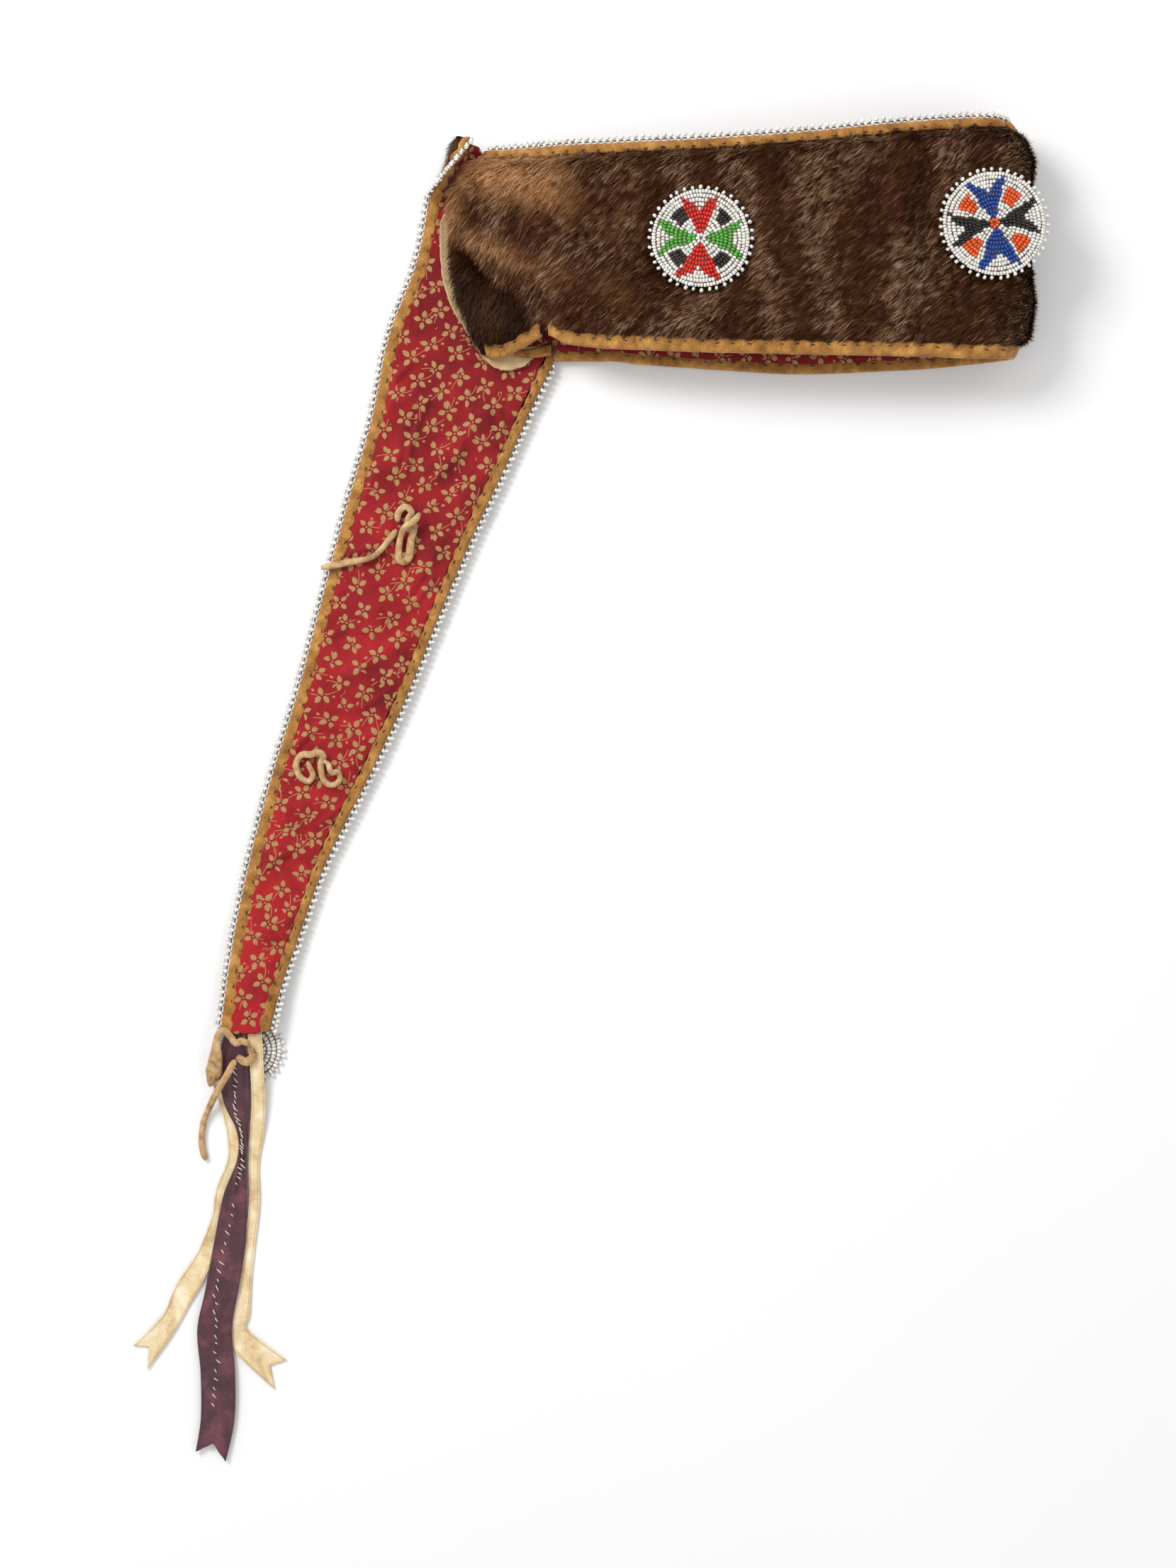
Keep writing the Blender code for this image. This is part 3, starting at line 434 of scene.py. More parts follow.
def rosette_bed(point):
    """1 under a rosette on the band, 0 away from it."""
    bed = 0.0
    for centre, radius in ((ROSETTE_LEFT_AT, ROSETTE_LEFT_RADIUS), (ROSETTE_RIGHT_AT, ROSETTE_RIGHT_RADIUS)):
        away = math.hypot(point.x - centre[0], point.y - centre[1])
        bed = max(bed, 1 - ease((away - radius - 0.002) / 0.013))
    return bed


def fur_depth(station, place):
    """The fur's thickness over the hide: slanting locks, ripples, dents and beds for the rosettes."""
    slant = place.y * 0.85 + place.x * 0.5
    lock = math.sin(2 * math.pi * place.x / LOCK_PITCH + 1.7 * math.sin(slant / 0.006))
    lock = lock * 0.6 + 0.4 * math.sin(2 * math.pi * slant / LOCK_PITCH)
    ripple = math.sin(2 * math.pi * place.x / RIPPLE_PITCH) * ease((place.x + 0.02) / 0.04)
    thick = FUR + LOCK_DEPTH * lock + RIPPLE_DEPTH * ripple
    for d in DENTS:
        a = Vector((d.from_x, d.from_y)) * BAND_WIDTH
        b = Vector((d.to_x, d.to_y)) * BAND_WIDTH
        t = min(1.0, max(0.0, (place.xy - a).dot(b - a) / (b - a).length_squared))
        thick -= d.deep * FUR * math.exp(-((place.xy - a - (b - a) * t).length / (d.wide * BAND_WIDTH)) ** 2)
    thick += ((ROSETTE_BED - FUR - HIDE - LOCK_DEPTH * lock) * rosette_bed(place)
              * ease((station - 1.62) / 0.25))
    wall = ease((station - 1.03) / 0.35)
    return FUR_CRUSHED + (thick - FUR_CRUSHED) * wall


def ramp(distance, width):
    """The fur's rise from the edge of the bare hide."""
    return ease((distance - width) / FUR_RAMP)


def smooth_route(points, spacing):
    """Points about a spacing apart on a smooth curve through the route's own points."""
    table = np.array([tuple(p) for p in points], float)
    fine = [blend(table, i / 12) for i in range(12 * (len(table) - 1) + 1)]
    route, last = [fine[0]], fine[0]
    for p in fine[1:-1]:
        if np.linalg.norm(p - last) >= spacing and np.linalg.norm(p - fine[-1]) >= spacing * 0.6:
            route.append(p)
            last = p
    return route + [fine[-1]]


def calico_height(point):
    """The highest that the trailer's calico stands within a tie's width of a point, in the part."""
    along, out = trailer_flat(point)
    folds = [trailer_fold(along + a, out + o) for a in (-THONG, 0, THONG) for o in (-THONG, 0, THONG)]
    return LINING_TOP + max(folds)


# Creases in the calico beside the margin and down the trailer, as shares of BAND_WIDTH
CREASES = [
    ((-1.532, -0.205), (-1.549, -0.330)),
    ((-1.702, -0.690), (-1.605, -0.596), (-1.515, -0.502)),
    ((-1.393, -0.447), (-1.285, -0.596), (-1.160, -0.687), (-1.093, -0.767), (-1.100, -0.819)),
    ((-1.271, -0.704), (-1.236, -0.830), (-1.215, -0.969), (-1.198, -1.007)),
    ((-1.240, -1.122), (-1.267, -1.209)),
    ((-1.633, -0.259), (-1.626, -0.412)),
    ((-1.560, -0.700), (-1.660, -0.960), (-1.690, -1.120)),
    ((-1.420, -1.020), (-1.560, -1.160)),
    ((-1.930, -1.560), (-1.830, -1.520), (-1.700, -1.560)),
    ((-1.560, -1.640), (-1.640, -1.760), (-1.780, -1.820)),
    ((-2.060, -1.980), (-1.960, -1.920), (-1.860, -1.930)),
    ((-1.760, -2.180), (-1.880, -2.260), (-2.020, -2.260)),
    ((-2.180, -2.480), (-2.080, -2.400), (-1.960, -2.420)),
    ((-1.990, -2.760), (-2.110, -2.840), (-2.230, -2.820)),
    ((-2.330, -3.080), (-2.230, -3.020), (-2.130, -3.060)),
    ((-2.230, -3.360), (-2.340, -3.400), (-2.420, -3.360)),
]
CREASE_WIDE = 0.0011
CREASE_HIGH = 0.0020
PUFF = 0.0005


def wrinkle(along, out):
    """How far the calico stands up beside its creases: a narrow valley with a soft ridge on one side."""
    place = trailer_plan(along, out)
    high = PUFF
    for crease in CREASES:
        nearest, signed = 1.0, 1.0
        for a, b in zip(crease, crease[1:]):
            a, b = Vector(a) * BAND_WIDTH, Vector(b) * BAND_WIDTH
            t = (place - a).dot(b - a) / (b - a).length_squared
            away = place - a - (b - a) * min(1.0, max(0.0, t))
            if away.length < nearest:
                nearest = away.length
                signed = math.copysign(nearest, (b - a).x * away.y - (b - a).y * away.x)
        if nearest < 8 * CREASE_WIDE:
            valley = math.exp(-(signed / CREASE_WIDE) ** 2)
            ridge = math.exp(-((signed - 2.3 * CREASE_WIDE) / (1.5 * CREASE_WIDE)) ** 2)
            slope = math.exp(-((signed + 3.0 * CREASE_WIDE) / (2.4 * CREASE_WIDE)) ** 2)
            high += CREASE_HIGH * (ridge + 0.35 * slope) - PUFF * valley
    return high


# Node trees

def put(tree, socket, value):
    """Links a socket to another, or gives it a plain value."""
    if isinstance(value, bpy.types.NodeSocket):
        tree.links.new(value, socket)
    else:
        socket.default_value = value


def place_node(tree, kind, inputs=None, **settings):
    """A node with its settings, and its sockets' links or values by name or number."""
    node = tree.nodes.new(kind)
    for name, value in settings.items():
        setattr(node, name, value)
    for key, value in (inputs or {}).items():
        put(tree, node.inputs[key], value)
    return node


def calc(tree, operation, *values, clamp=False):
    """A Math node's result."""
    node = place_node(tree, "ShaderNodeMath", dict(enumerate(values)), operation=operation, use_clamp=clamp)
    return node.outputs[0]


def vec(tree, operation, *values):
    """A Vector Math node's result."""
    node = place_node(tree, "ShaderNodeVectorMath", dict(enumerate(values)), operation=operation)
    return node.outputs["Value" if operation in ("LENGTH", "DISTANCE", "DOT_PRODUCT") else "Vector"]


def scaled(tree, vector, factor):
    """A vector times a number."""
    return place_node(tree, "ShaderNodeVectorMath", {0: vector, "Scale": factor},
                      operation="SCALE").outputs[0]


def edge_mask(tree, inside, soft):
    """1 where inside is above 0, with an edge as wide as soft."""
    return calc(tree, "ADD", calc(tree, "DIVIDE", inside, soft), 0.5, clamp=True)


def mixed(tree, factor, first, second, blend_type="MIX"):
    """A mix of two colours."""
    node = place_node(tree, "ShaderNodeMix", {0: factor, 6: first, 7: second},
                      data_type="RGBA", blend_type=blend_type)
    return node.outputs[2]


def noise(tree, vector, scale, detail=3.0, rough=0.55, output="Fac"):
    """A noise texture's value or colour."""
    node = place_node(tree, "ShaderNodeTexNoise", {"Vector": vector, "Scale": scale, "Detail": detail,
                                                  "Roughness": rough})
    return node.outputs[output]


def node_group(name, kind, inputs, outputs):
    """An empty group with its sockets, and its input and output nodes."""
    tree = bpy.data.node_groups.new(name, kind)
    for label, socket, value in inputs:
        made = tree.interface.new_socket(label, in_out="INPUT", socket_type=socket)
        if value is not None:
            made.default_value = value
    for label, socket in outputs:
        tree.interface.new_socket(label, in_out="OUTPUT", socket_type=socket)
    return tree, tree.nodes.new("NodeGroupInput").outputs, tree.nodes.new("NodeGroupOutput").inputs


def use_group(tree, group, inputs):
    """A placed shader group's outputs."""
    return place_node(tree, "ShaderNodeGroup", inputs, node_tree=group).outputs


def sprig_group():
    """One printed sprig in each cell of a lattice: a flower of four petals with a bent stem and a bud."""
    tree, given, out = node_group(
        "sprig", "ShaderNodeTree",
        [("Flat", "NodeSocketVector", None), ("Shift", "NodeSocketVector", None),
         ("Seed", "NodeSocketFloat", 0.0)],
        [("Petal", "NodeSocketFloat"), ("Vein", "NodeSocketFloat"), ("Ring", "NodeSocketFloat"),
         ("Dot", "NodeSocketFloat"), ("Stem", "NodeSocketFloat")])
    pitch = (0.0134, 0.0190, 1.0)
    cell = vec(tree, "ADD", vec(tree, "DIVIDE", given["Flat"], pitch), given["Shift"])
    flat_cell = vec(tree, "MULTIPLY", cell, (1.0, 1.0, 0.0))
    corner = vec(tree, "FLOOR", flat_cell)
    chance = place_node(tree, "ShaderNodeTexWhiteNoise", {"Vector": corner, "W": given["Seed"]},
                        noise_dimensions="4D").outputs["Color"]
    luck = place_node(tree, "ShaderNodeSeparateXYZ", {0: chance}).outputs
    local = vec(tree, "SUBTRACT", vec(tree, "SUBTRACT", flat_cell, corner), (0.5, 0.5, 0.0))
    local = vec(tree, "MULTIPLY", local, pitch)
    drift = scaled(tree, vec(tree, "SUBTRACT", chance, (0.5, 0.5, 0.5)), 0.0020)
    local = vec(tree, "MULTIPLY", vec(tree, "ADD", local, drift), (1.0, 1.0, 0.0))
    swing = calc(tree, "MULTIPLY", calc(tree, "SUBTRACT", luck[0], 0.5), 2.0)
    half_turn = calc(tree, "MULTIPLY", calc(tree, "GREATER_THAN", luck[1], 0.5), math.pi)
    turned = place_node(tree, "ShaderNodeVectorRotate", {
        "Vector": local, "Angle": calc(tree, "ADD", swing, half_turn)}, rotation_type="Z_AXIS").outputs[0]
    x, y, _ = place_node(tree, "ShaderNodeSeparateXYZ", {0: turned}).outputs
    reach = vec(tree, "LENGTH", turned)
    size = calc(tree, "ADD", 0.92, calc(tree, "MULTIPLY", luck[2], 0.16))
    wide_x, wide_y = calc(tree, "ABSOLUTE", x), calc(tree, "ABSOLUTE", y)
    outward = calc(tree, "DIVIDE", calc(tree, "MAXIMUM", wide_x, wide_y), size)
    aside = calc(tree, "DIVIDE", calc(tree, "MINIMUM", wide_x, wide_y), size)
    share = calc(tree, "DIVIDE", calc(tree, "SUBTRACT", outward, 0.0008), 0.0040)
    bulge = calc(tree, "MULTIPLY", calc(tree, "MULTIPLY", share, calc(tree, "SUBTRACT", 1.0, share)), 4.0)
    half_width = calc(tree, "MULTIPLY", calc(tree, "POWER", calc(tree, "MAXIMUM", bulge, 0.0), 1.05), 0.00122)
    petal = edge_mask(tree, calc(tree, "SUBTRACT", half_width, aside), 0.00022)
    petal = calc(tree, "MULTIPLY", petal, calc(tree, "GREATER_THAN", bulge, 0.02))
    put(tree, out["Petal"], petal)
    inner = calc(tree, "SUBTRACT", calc(tree, "MULTIPLY", half_width, 0.42), aside)
    put(tree, out["Vein"], calc(tree, "MULTIPLY", petal, edge_mask(tree, inner, 0.0006)))
    ring = calc(tree, "SUBTRACT", 0.00026, calc(tree, "ABSOLUTE", calc(tree, "SUBTRACT", reach, 0.00092)))
    put(tree, out["Ring"], edge_mask(tree, ring, 0.00018))
    put(tree, out["Dot"], edge_mask(tree, calc(tree, "SUBTRACT", 0.00062, reach), 0.0002))
    along = calc(tree, "MULTIPLY", calc(tree, "ADD", x, y), math.sqrt(0.5))
    off = calc(tree, "MULTIPLY", calc(tree, "SUBTRACT", y, x), math.sqrt(0.5))
    bend = calc(tree, "MULTIPLY", calc(tree, "POWER", calc(tree, "MAXIMUM", along, 0.0), 2.0), 36.0)
    gap = calc(tree, "ABSOLUTE", calc(tree, "SUBTRACT", off, bend))
    stem = edge_mask(tree, calc(tree, "SUBTRACT", 0.00017, gap), 0.0002)
    stem = calc(tree, "MULTIPLY", stem, calc(tree, "GREATER_THAN", along, 0.0014))
    stem = calc(tree, "MULTIPLY", stem, calc(tree, "LESS_THAN", along, 0.0074))
    bud_long = calc(tree, "DIVIDE", calc(tree, "ABSOLUTE", calc(tree, "SUBTRACT", along, 0.0060)), 0.00110)
    bud_wide = calc(tree, "DIVIDE", calc(tree, "ABSOLUTE", calc(tree, "ADD", off, 0.0008)), 0.00070)
    bud = edge_mask(tree, calc(tree, "SUBTRACT", 1.0, calc(tree, "ADD", bud_long, bud_wide)), 0.25)
    put(tree, out["Stem"], calc(tree, "MAXIMUM", stem, bud))
    return tree


def sprig_print_group(sprig):
    """The calico's colour: rows of sprigs on a ground that is faded in patches, and painted lighter towards
    the trailer's tip.
    """
    tree, given, out = node_group(
        "sprig_print", "ShaderNodeTree",
        [("Flat", "NodeSocketVector", None), ("Ground", "NodeSocketColor", (0.165, 0.0045, 0.0075, 1)),
         ("Faded and Lit", "NodeSocketColor", (0.38, 0.012, 0.016, 1))],
        [("Color", "NodeSocketColor")])
    wave = noise(tree, given["Flat"], 55.0, 2.0, output="Color")
    warp = scaled(tree, vec(tree, "SUBTRACT", wave, (0.5, 0.5, 0.5)), 0.0022)
    flat = vec(tree, "ADD", given["Flat"], warp)
    even = use_group(tree, sprig, {"Flat": flat, "Shift": (0.0, 0.0, 0.0), "Seed": 3.0})
    odd = use_group(tree, sprig, {"Flat": flat, "Shift": (0.5, 0.5, 0.0), "Seed": 8.0})
    patch = calc(tree, "MULTIPLY", calc(tree, "SUBTRACT", noise(tree, given["Flat"], 38.0, 4.0, 0.6), 0.45),
                 2.6)
    # Painted light: the ground turns lighter further along the cloth. This is a painted highlight towards the
    # trailer's tip and painted shade near the band, on top of the real faded patches.
    down = place_node(tree, "ShaderNodeSeparateXYZ", {0: given["Flat"]}).outputs[1]
    colour = mixed(tree, calc(tree, "ADD", patch, calc(tree, "MULTIPLY", down, 1.7), clamp=True),
                   given["Ground"], given["Faded and Lit"])
    petal = (0.37, 0.205, 0.075, 1)
    for mask, ink in (("Stem", (0.42, 0.20, 0.09, 1)), ("Petal", petal), ("Vein", (0.35, 0.21, 0.09, 1)),
                      ("Ring", (0.13, 0.005, 0.010, 1)), ("Dot", (0.42, 0.12, 0.06, 1))):
        colour = mixed(tree, calc(tree, "MAXIMUM", even[mask], odd[mask]), colour, ink)
    put(tree, out["Color"], colour)
    return tree


def weave_group():
    """A plain weave's height and its thread-by-thread tone, from flat-cloth coordinates."""
    tree, given, out = node_group(
        "plain_weave", "ShaderNodeTree",
        [("Flat", "NodeSocketVector", None), ("Across", "NodeSocketFloat", 9000.0),
         ("Down", "NodeSocketFloat", 9000.0)],
        [("Height", "NodeSocketFloat"), ("Tone", "NodeSocketFloat")])
    x, y, _ = place_node(tree, "ShaderNodeSeparateXYZ", {0: given["Flat"]}).outputs
    warp = calc(tree, "SINE", calc(tree, "MULTIPLY", x, given["Across"]))
    weft = calc(tree, "SINE", calc(tree, "MULTIPLY", y, given["Down"]))
    thread = calc(tree, "MULTIPLY", warp, weft)
    put(tree, out["Height"], calc(tree, "MULTIPLY", calc(tree, "ADD", thread, 1.0), 0.5))
    slub = noise(tree, vec(tree, "MULTIPLY", given["Flat"], (900.0, 120.0, 1.0)), 1.0, 2.0)
    put(tree, out["Tone"], calc(tree, "ADD", 0.82, calc(tree, "MULTIPLY", slub, 0.36)))
    return tree


def patchy_group():
    """Colour that wanders between three tones in patches, with fine grain over it."""
    tree, given, out = node_group(
        "patchy_tone", "ShaderNodeTree",
        [("Vector", "NodeSocketVector", None), ("Patch Scale", "NodeSocketFloat", 60.0),
         ("Grain Scale", "NodeSocketFloat", 900.0), ("Dark", "NodeSocketColor", None),
         ("Middle", "NodeSocketColor", None), ("Light", "NodeSocketColor", None)],
        [("Color", "NodeSocketColor"), ("Grain", "NodeSocketFloat")])
    patch = noise(tree, given["Vector"], given["Patch Scale"], 4.0, 0.6)
    grain = noise(tree, given["Vector"], given["Grain Scale"], 3.0, 0.6)
    level = calc(tree, "ADD", calc(tree, "MULTIPLY", patch, 0.7), calc(tree, "MULTIPLY", grain, 0.3))
    low = calc(tree, "MULTIPLY", calc(tree, "SUBTRACT", level, 0.32), 6.0, clamp=True)
    high = calc(tree, "MULTIPLY", calc(tree, "SUBTRACT", level, 0.50), 6.0, clamp=True)
    colour = mixed(tree, low, given["Dark"], given["Middle"])
    put(tree, out["Color"], mixed(tree, high, colour, given["Light"]))
    put(tree, out["Grain"], grain)
    return tree


SPRIG = sprig_group()
SPRIG_PRINT = sprig_print_group(SPRIG)
WEAVE = weave_group()
PATCHY = patchy_group()


def new_finish(name, roughness, **sockets):
    """A material, its tree and its shader, with the shader's own plain values."""
    material = bpy.data.materials.new(name)
    material.use_nodes = True
    tree = material.node_tree
    shader = tree.nodes["Principled BSDF"]
    shader.inputs["Roughness"].default_value = roughness
    for label, value in sockets.items():
        shader.inputs[label.replace("_", " ")].default_value = value
    return material, tree, shader


def bump(tree, shader, height, strength, distance):
    """Gives a shader a bump from a height."""
    node = place_node(tree, "ShaderNodeBump", {"Height": height, "Strength": strength, "Distance": distance})
    tree.links.new(node.outputs[0], shader.inputs["Normal"])


def uv_of(tree):
    return place_node(tree, "ShaderNodeUVMap", uv_map="flat").outputs[0]


def object_place(tree):
    return place_node(tree, "ShaderNodeTexCoord").outputs["Object"]


def attribute(tree, name, output="Fac"):
    return place_node(tree, "ShaderNodeAttribute", attribute_name=name).outputs[output]


def calico_finish(name):
    material, tree, shader = new_finish(name, 0.86, Specular_IOR_Level=0.25, Sheen_Weight=0.12)
    flat = uv_of(tree)
    weave = use_group(tree, WEAVE, {"Flat": flat, "Across": 9500.0, "Down": 9500.0})
    tone = place_node(tree, "ShaderNodeCombineXYZ",
                      {0: weave["Tone"], 1: weave["Tone"], 2: weave["Tone"]}).outputs[0]
    printed = use_group(tree, SPRIG_PRINT, {"Flat": flat})["Color"]
    put(tree, shader.inputs["Base Color"], mixed(tree, 1.0, printed, tone, "MULTIPLY"))
    bump(tree, shader, weave["Height"], 0.35, 0.0001)
    return material


def leather_finish(name, dark, middle, light, patch=70.0, grain=1100.0, rough=0.82, depth=0.0003):
    """Soft brain-tanned hide or tape: patchy tone with a napped grain."""
    material, tree, shader = new_finish(name, rough, Specular_IOR_Level=0.3, Sheen_Weight=0.15)
    tone = use_group(tree, PATCHY, {"Vector": object_place(tree), "Patch Scale": patch, "Grain Scale": grain,
                                    "Dark": (*dark, 1), "Middle": (*middle, 1), "Light": (*light, 1)})
    put(tree, shader.inputs["Base Color"], tone["Color"])
    bump(tree, shader, tone["Grain"], 0.5, depth)
    return material


def pelt_finish(name, dark, middle, light):
    """The dense underfur that shows between the hairs."""
    material, tree, shader = new_finish(name, 0.9, Specular_IOR_Level=0.1)
    tone = use_group(tree, PATCHY, {"Vector": object_place(tree), "Patch Scale": 90.0, "Grain Scale": 1400.0,
                                    "Dark": (*dark, 1), "Middle": (*middle, 1), "Light": (*light, 1)})
    put(tree, shader.inputs["Base Color"], tone["Color"])
    bump(tree, shader, tone["Grain"], 0.8, 0.0012)
    return material


def hair_finish(name, gloss, roughness, dark, middle, pale):
    """Hair that is dark at its root and pale at some tips, golden where the pelt is, with painted glints that
    pale more tips and painted shade that darkens it where the pelt gives it.
    """
    material, tree, shader = new_finish(name, roughness, Specular_IOR_Level=gloss)
    tone, along = attribute(tree, "tone"), attribute(tree, "along")
    warm, deep, glint = attribute(tree, "warm"), attribute(tree, "deep"), attribute(tree, "glint")
    colour = mixed(tree, tone, (*dark, 1), (*middle, 1))
    golden = mixed(tree, tone, (*HAIR_RUST, 1), (*HAIR_GOLD, 1))
    colour = mixed(tree, warm, colour, golden)
    # Painted highlight: tips turn pale where the hair's own tone and the painted glint run high together.
    lit = calc(tree, "MULTIPLY", calc(tree, "SUBTRACT", calc(tree, "ADD", tone, glint), 1.16), 3.4,
               clamp=True)
    colour = mixed(tree, calc(tree, "MULTIPLY", lit, along), colour, (*pale, 1))
    # Painted shade: the pelt's painted shade darkens the hair towards the root brown.
    colour = mixed(tree, calc(tree, "MULTIPLY", deep, 0.72), colour, (*HAIR_ROOT_AND_SHADE, 1))
    rooted = calc(tree, "MULTIPLY", calc(tree, "SUBTRACT", 0.62, along), 1.7, clamp=True)
    put(tree, shader.inputs["Base Color"], mixed(tree, rooted, colour, (*HAIR_ROOT_AND_SHADE, 1)))
    return material


def bead_finish():
    material, tree, shader = new_finish("glass_bead", 0.22, Specular_IOR_Level=0.5, Coat_Weight=0.3,
                                        Coat_Roughness=0.12)
    tint = attribute(tree, "tint", "Color")
    worn = noise(tree, object_place(tree), 450.0, 2.0)
    shade = calc(tree, "ADD", 0.80, calc(tree, "MULTIPLY", worn, 0.35))
    grey = place_node(tree, "ShaderNodeCombineXYZ", {0: shade, 1: shade, 2: shade}).outputs[0]
    put(tree, shader.inputs["Base Color"], mixed(tree, 1.0, tint, grey, "MULTIPLY"))
    return material


def silk_finish(name, dark, middle, light, rib):
    """Ribbed ribbon silk: crosswise ribs, a woven edge line, and tone that wanders along its length."""
    material, tree, shader = new_finish(name, 0.38, Specular_IOR_Level=0.5, Sheen_Weight=0.3)
    flat = uv_of(tree)
    weave = use_group(tree, WEAVE, {"Flat": flat, "Across": 11000.0, "Down": rib})
    tone = use_group(tree, PATCHY, {"Vector": flat, "Patch Scale": 70.0, "Grain Scale": 1500.0,
                                    "Dark": (*dark, 1), "Middle": (*middle, 1), "Light": (*light, 1)})
    edge = attribute(tree, "edge")
    line = calc(tree, "ABSOLUTE", calc(tree, "SUBTRACT", edge, 0.0008))
    selvedge = edge_mask(tree, calc(tree, "SUBTRACT", 0.00022, line), 0.0002)
    colour = mixed(tree, calc(tree, "MULTIPLY", selvedge, 0.55), tone["Color"], (*dark, 1))
    put(tree, shader.inputs["Base Color"], colour)
    bump(tree, shader, weave["Height"], 0.4, 0.00015)
    return material


def thread_finish(name, colour):
    material, tree, shader = new_finish(name, 0.7)
    twist = noise(tree, object_place(tree), 2500.0, 1.0)
    put(tree, shader.inputs["Base Color"],
        mixed(tree, twist, (*colour, 1), (*[c * 0.6 for c in colour], 1)))
    return material


# Mesh making

def face_out(mesh):
    """Turns every face of a closed body outwards."""
    bm = bmesh.new()
    bm.from_mesh(mesh)
    bmesh.ops.recalc_face_normals(bm, faces=bm.faces[:])
    if bm.calc_volume(signed=True) < 0:
        bmesh.ops.reverse_faces(bm, faces=bm.faces[:])
    bm.to_mesh(mesh)
    bm.free()


def mesh_object(name, points, faces, material, uv=None, closed=True):
    """An object of the turban, with its flat-cloth coordinates where it has them."""
    mesh = bpy.data.meshes.new(name)
    mesh.from_pydata(np.asarray(points, float).tolist(), [], np.asarray(faces).tolist()
                     if not isinstance(faces, list) else faces)
    if uv is not None:
        layer = mesh.uv_layers.new(name="flat")
        loops = np.empty(len(mesh.loops), int)
        mesh.loops.foreach_get("vertex_index", loops)
        layer.data.foreach_set("uv", np.asarray(uv, np.float32)[loops].ravel())
    if closed:
        face_out(mesh)
    mesh.shade_smooth()
    if material:
        mesh.materials.append(material)
    obj = bpy.data.objects.new(name, mesh)
    bpy.context.scene.collection.objects.link(obj)
    return obj


def grid_quads(rows, columns, start=0):
    index = start + np.arange(rows * columns).reshape(rows, columns)
    return np.stack([index[:-1, :-1], index[1:, :-1], index[1:, 1:], index[:-1, 1:]], -1).reshape(-1, 4)


def closed_sheet(name, top, bottom, material, uv=None):
    """A closed sheet between two grids of points."""
    rows, columns = top.shape[:2]
    count = rows * columns
    index = np.arange(count).reshape(rows, columns)
    rim = np.concatenate([index[0, :], index[1:, -1], index[-1, -2::-1], index[-2:0:-1, 0]])
    after = np.roll(rim, -1)
    walls = np.stack([rim, after, after + count, rim + count], -1)
    faces = np.concatenate([grid_quads(rows, columns), grid_quads(rows, columns, count)[:, ::-1], walls])
    points = np.concatenate([top.reshape(-1, 3), bottom.reshape(-1, 3)])
    flat = None if uv is None else np.concatenate([uv.reshape(-1, 2)] * 2)
    return mesh_object(name, points, faces, material, flat)


def field(name, points, **values):
    """An open grid that carries values for a node tree: numbers or vectors at each point."""
    rows, columns = points.shape[:2]
    faces = grid_quads(rows, columns)[:, ::-1]
    obj = mesh_object(name, points.reshape(-1, 3), faces, None, closed=False)
    give(obj, **values)
    return obj


def give(obj, **values):
    """Stores numbers, vectors or colours at an object's points."""
    for label, data in values.items():
        data = np.asarray(data, np.float32)
        kind = {1: "FLOAT", 3: "FLOAT_VECTOR", 4: "FLOAT_COLOR"}[1 if data.ndim == 1 else data.shape[-1]]
        layer = obj.data.attributes.new(label, kind, "POINT")
        layer.data.foreach_set({"FLOAT": "value", "FLOAT_VECTOR": "vector", "FLOAT_COLOR": "color"}[kind],
                               data.ravel())


def unit(vectors):
    return vectors / np.maximum(np.linalg.norm(vectors, axis=-1, keepdims=True), 1e-12)


def grow(tree, name, base, values):
    """The plain mesh that a node tree makes on a base object, whose own mesh is used up."""
    modifier = base.modifiers.new(name, "NODES")
    modifier.node_group = tree
    for item in tree.interface.items_tree:
        if item.in_out == "INPUT" and item.name in values:
            modifier[item.identifier] = values[item.name]
    graph = bpy.context.evaluated_depsgraph_get()
    mesh = bpy.data.meshes.new_from_object(base.evaluated_get(graph))
    mesh.name = name
    bpy.data.objects.remove(base, do_unlink=True)
    obj = bpy.data.objects.new(name, mesh)
    bpy.context.scene.collection.objects.link(obj)
    return obj


# What repeats: hairs, beads and stitches

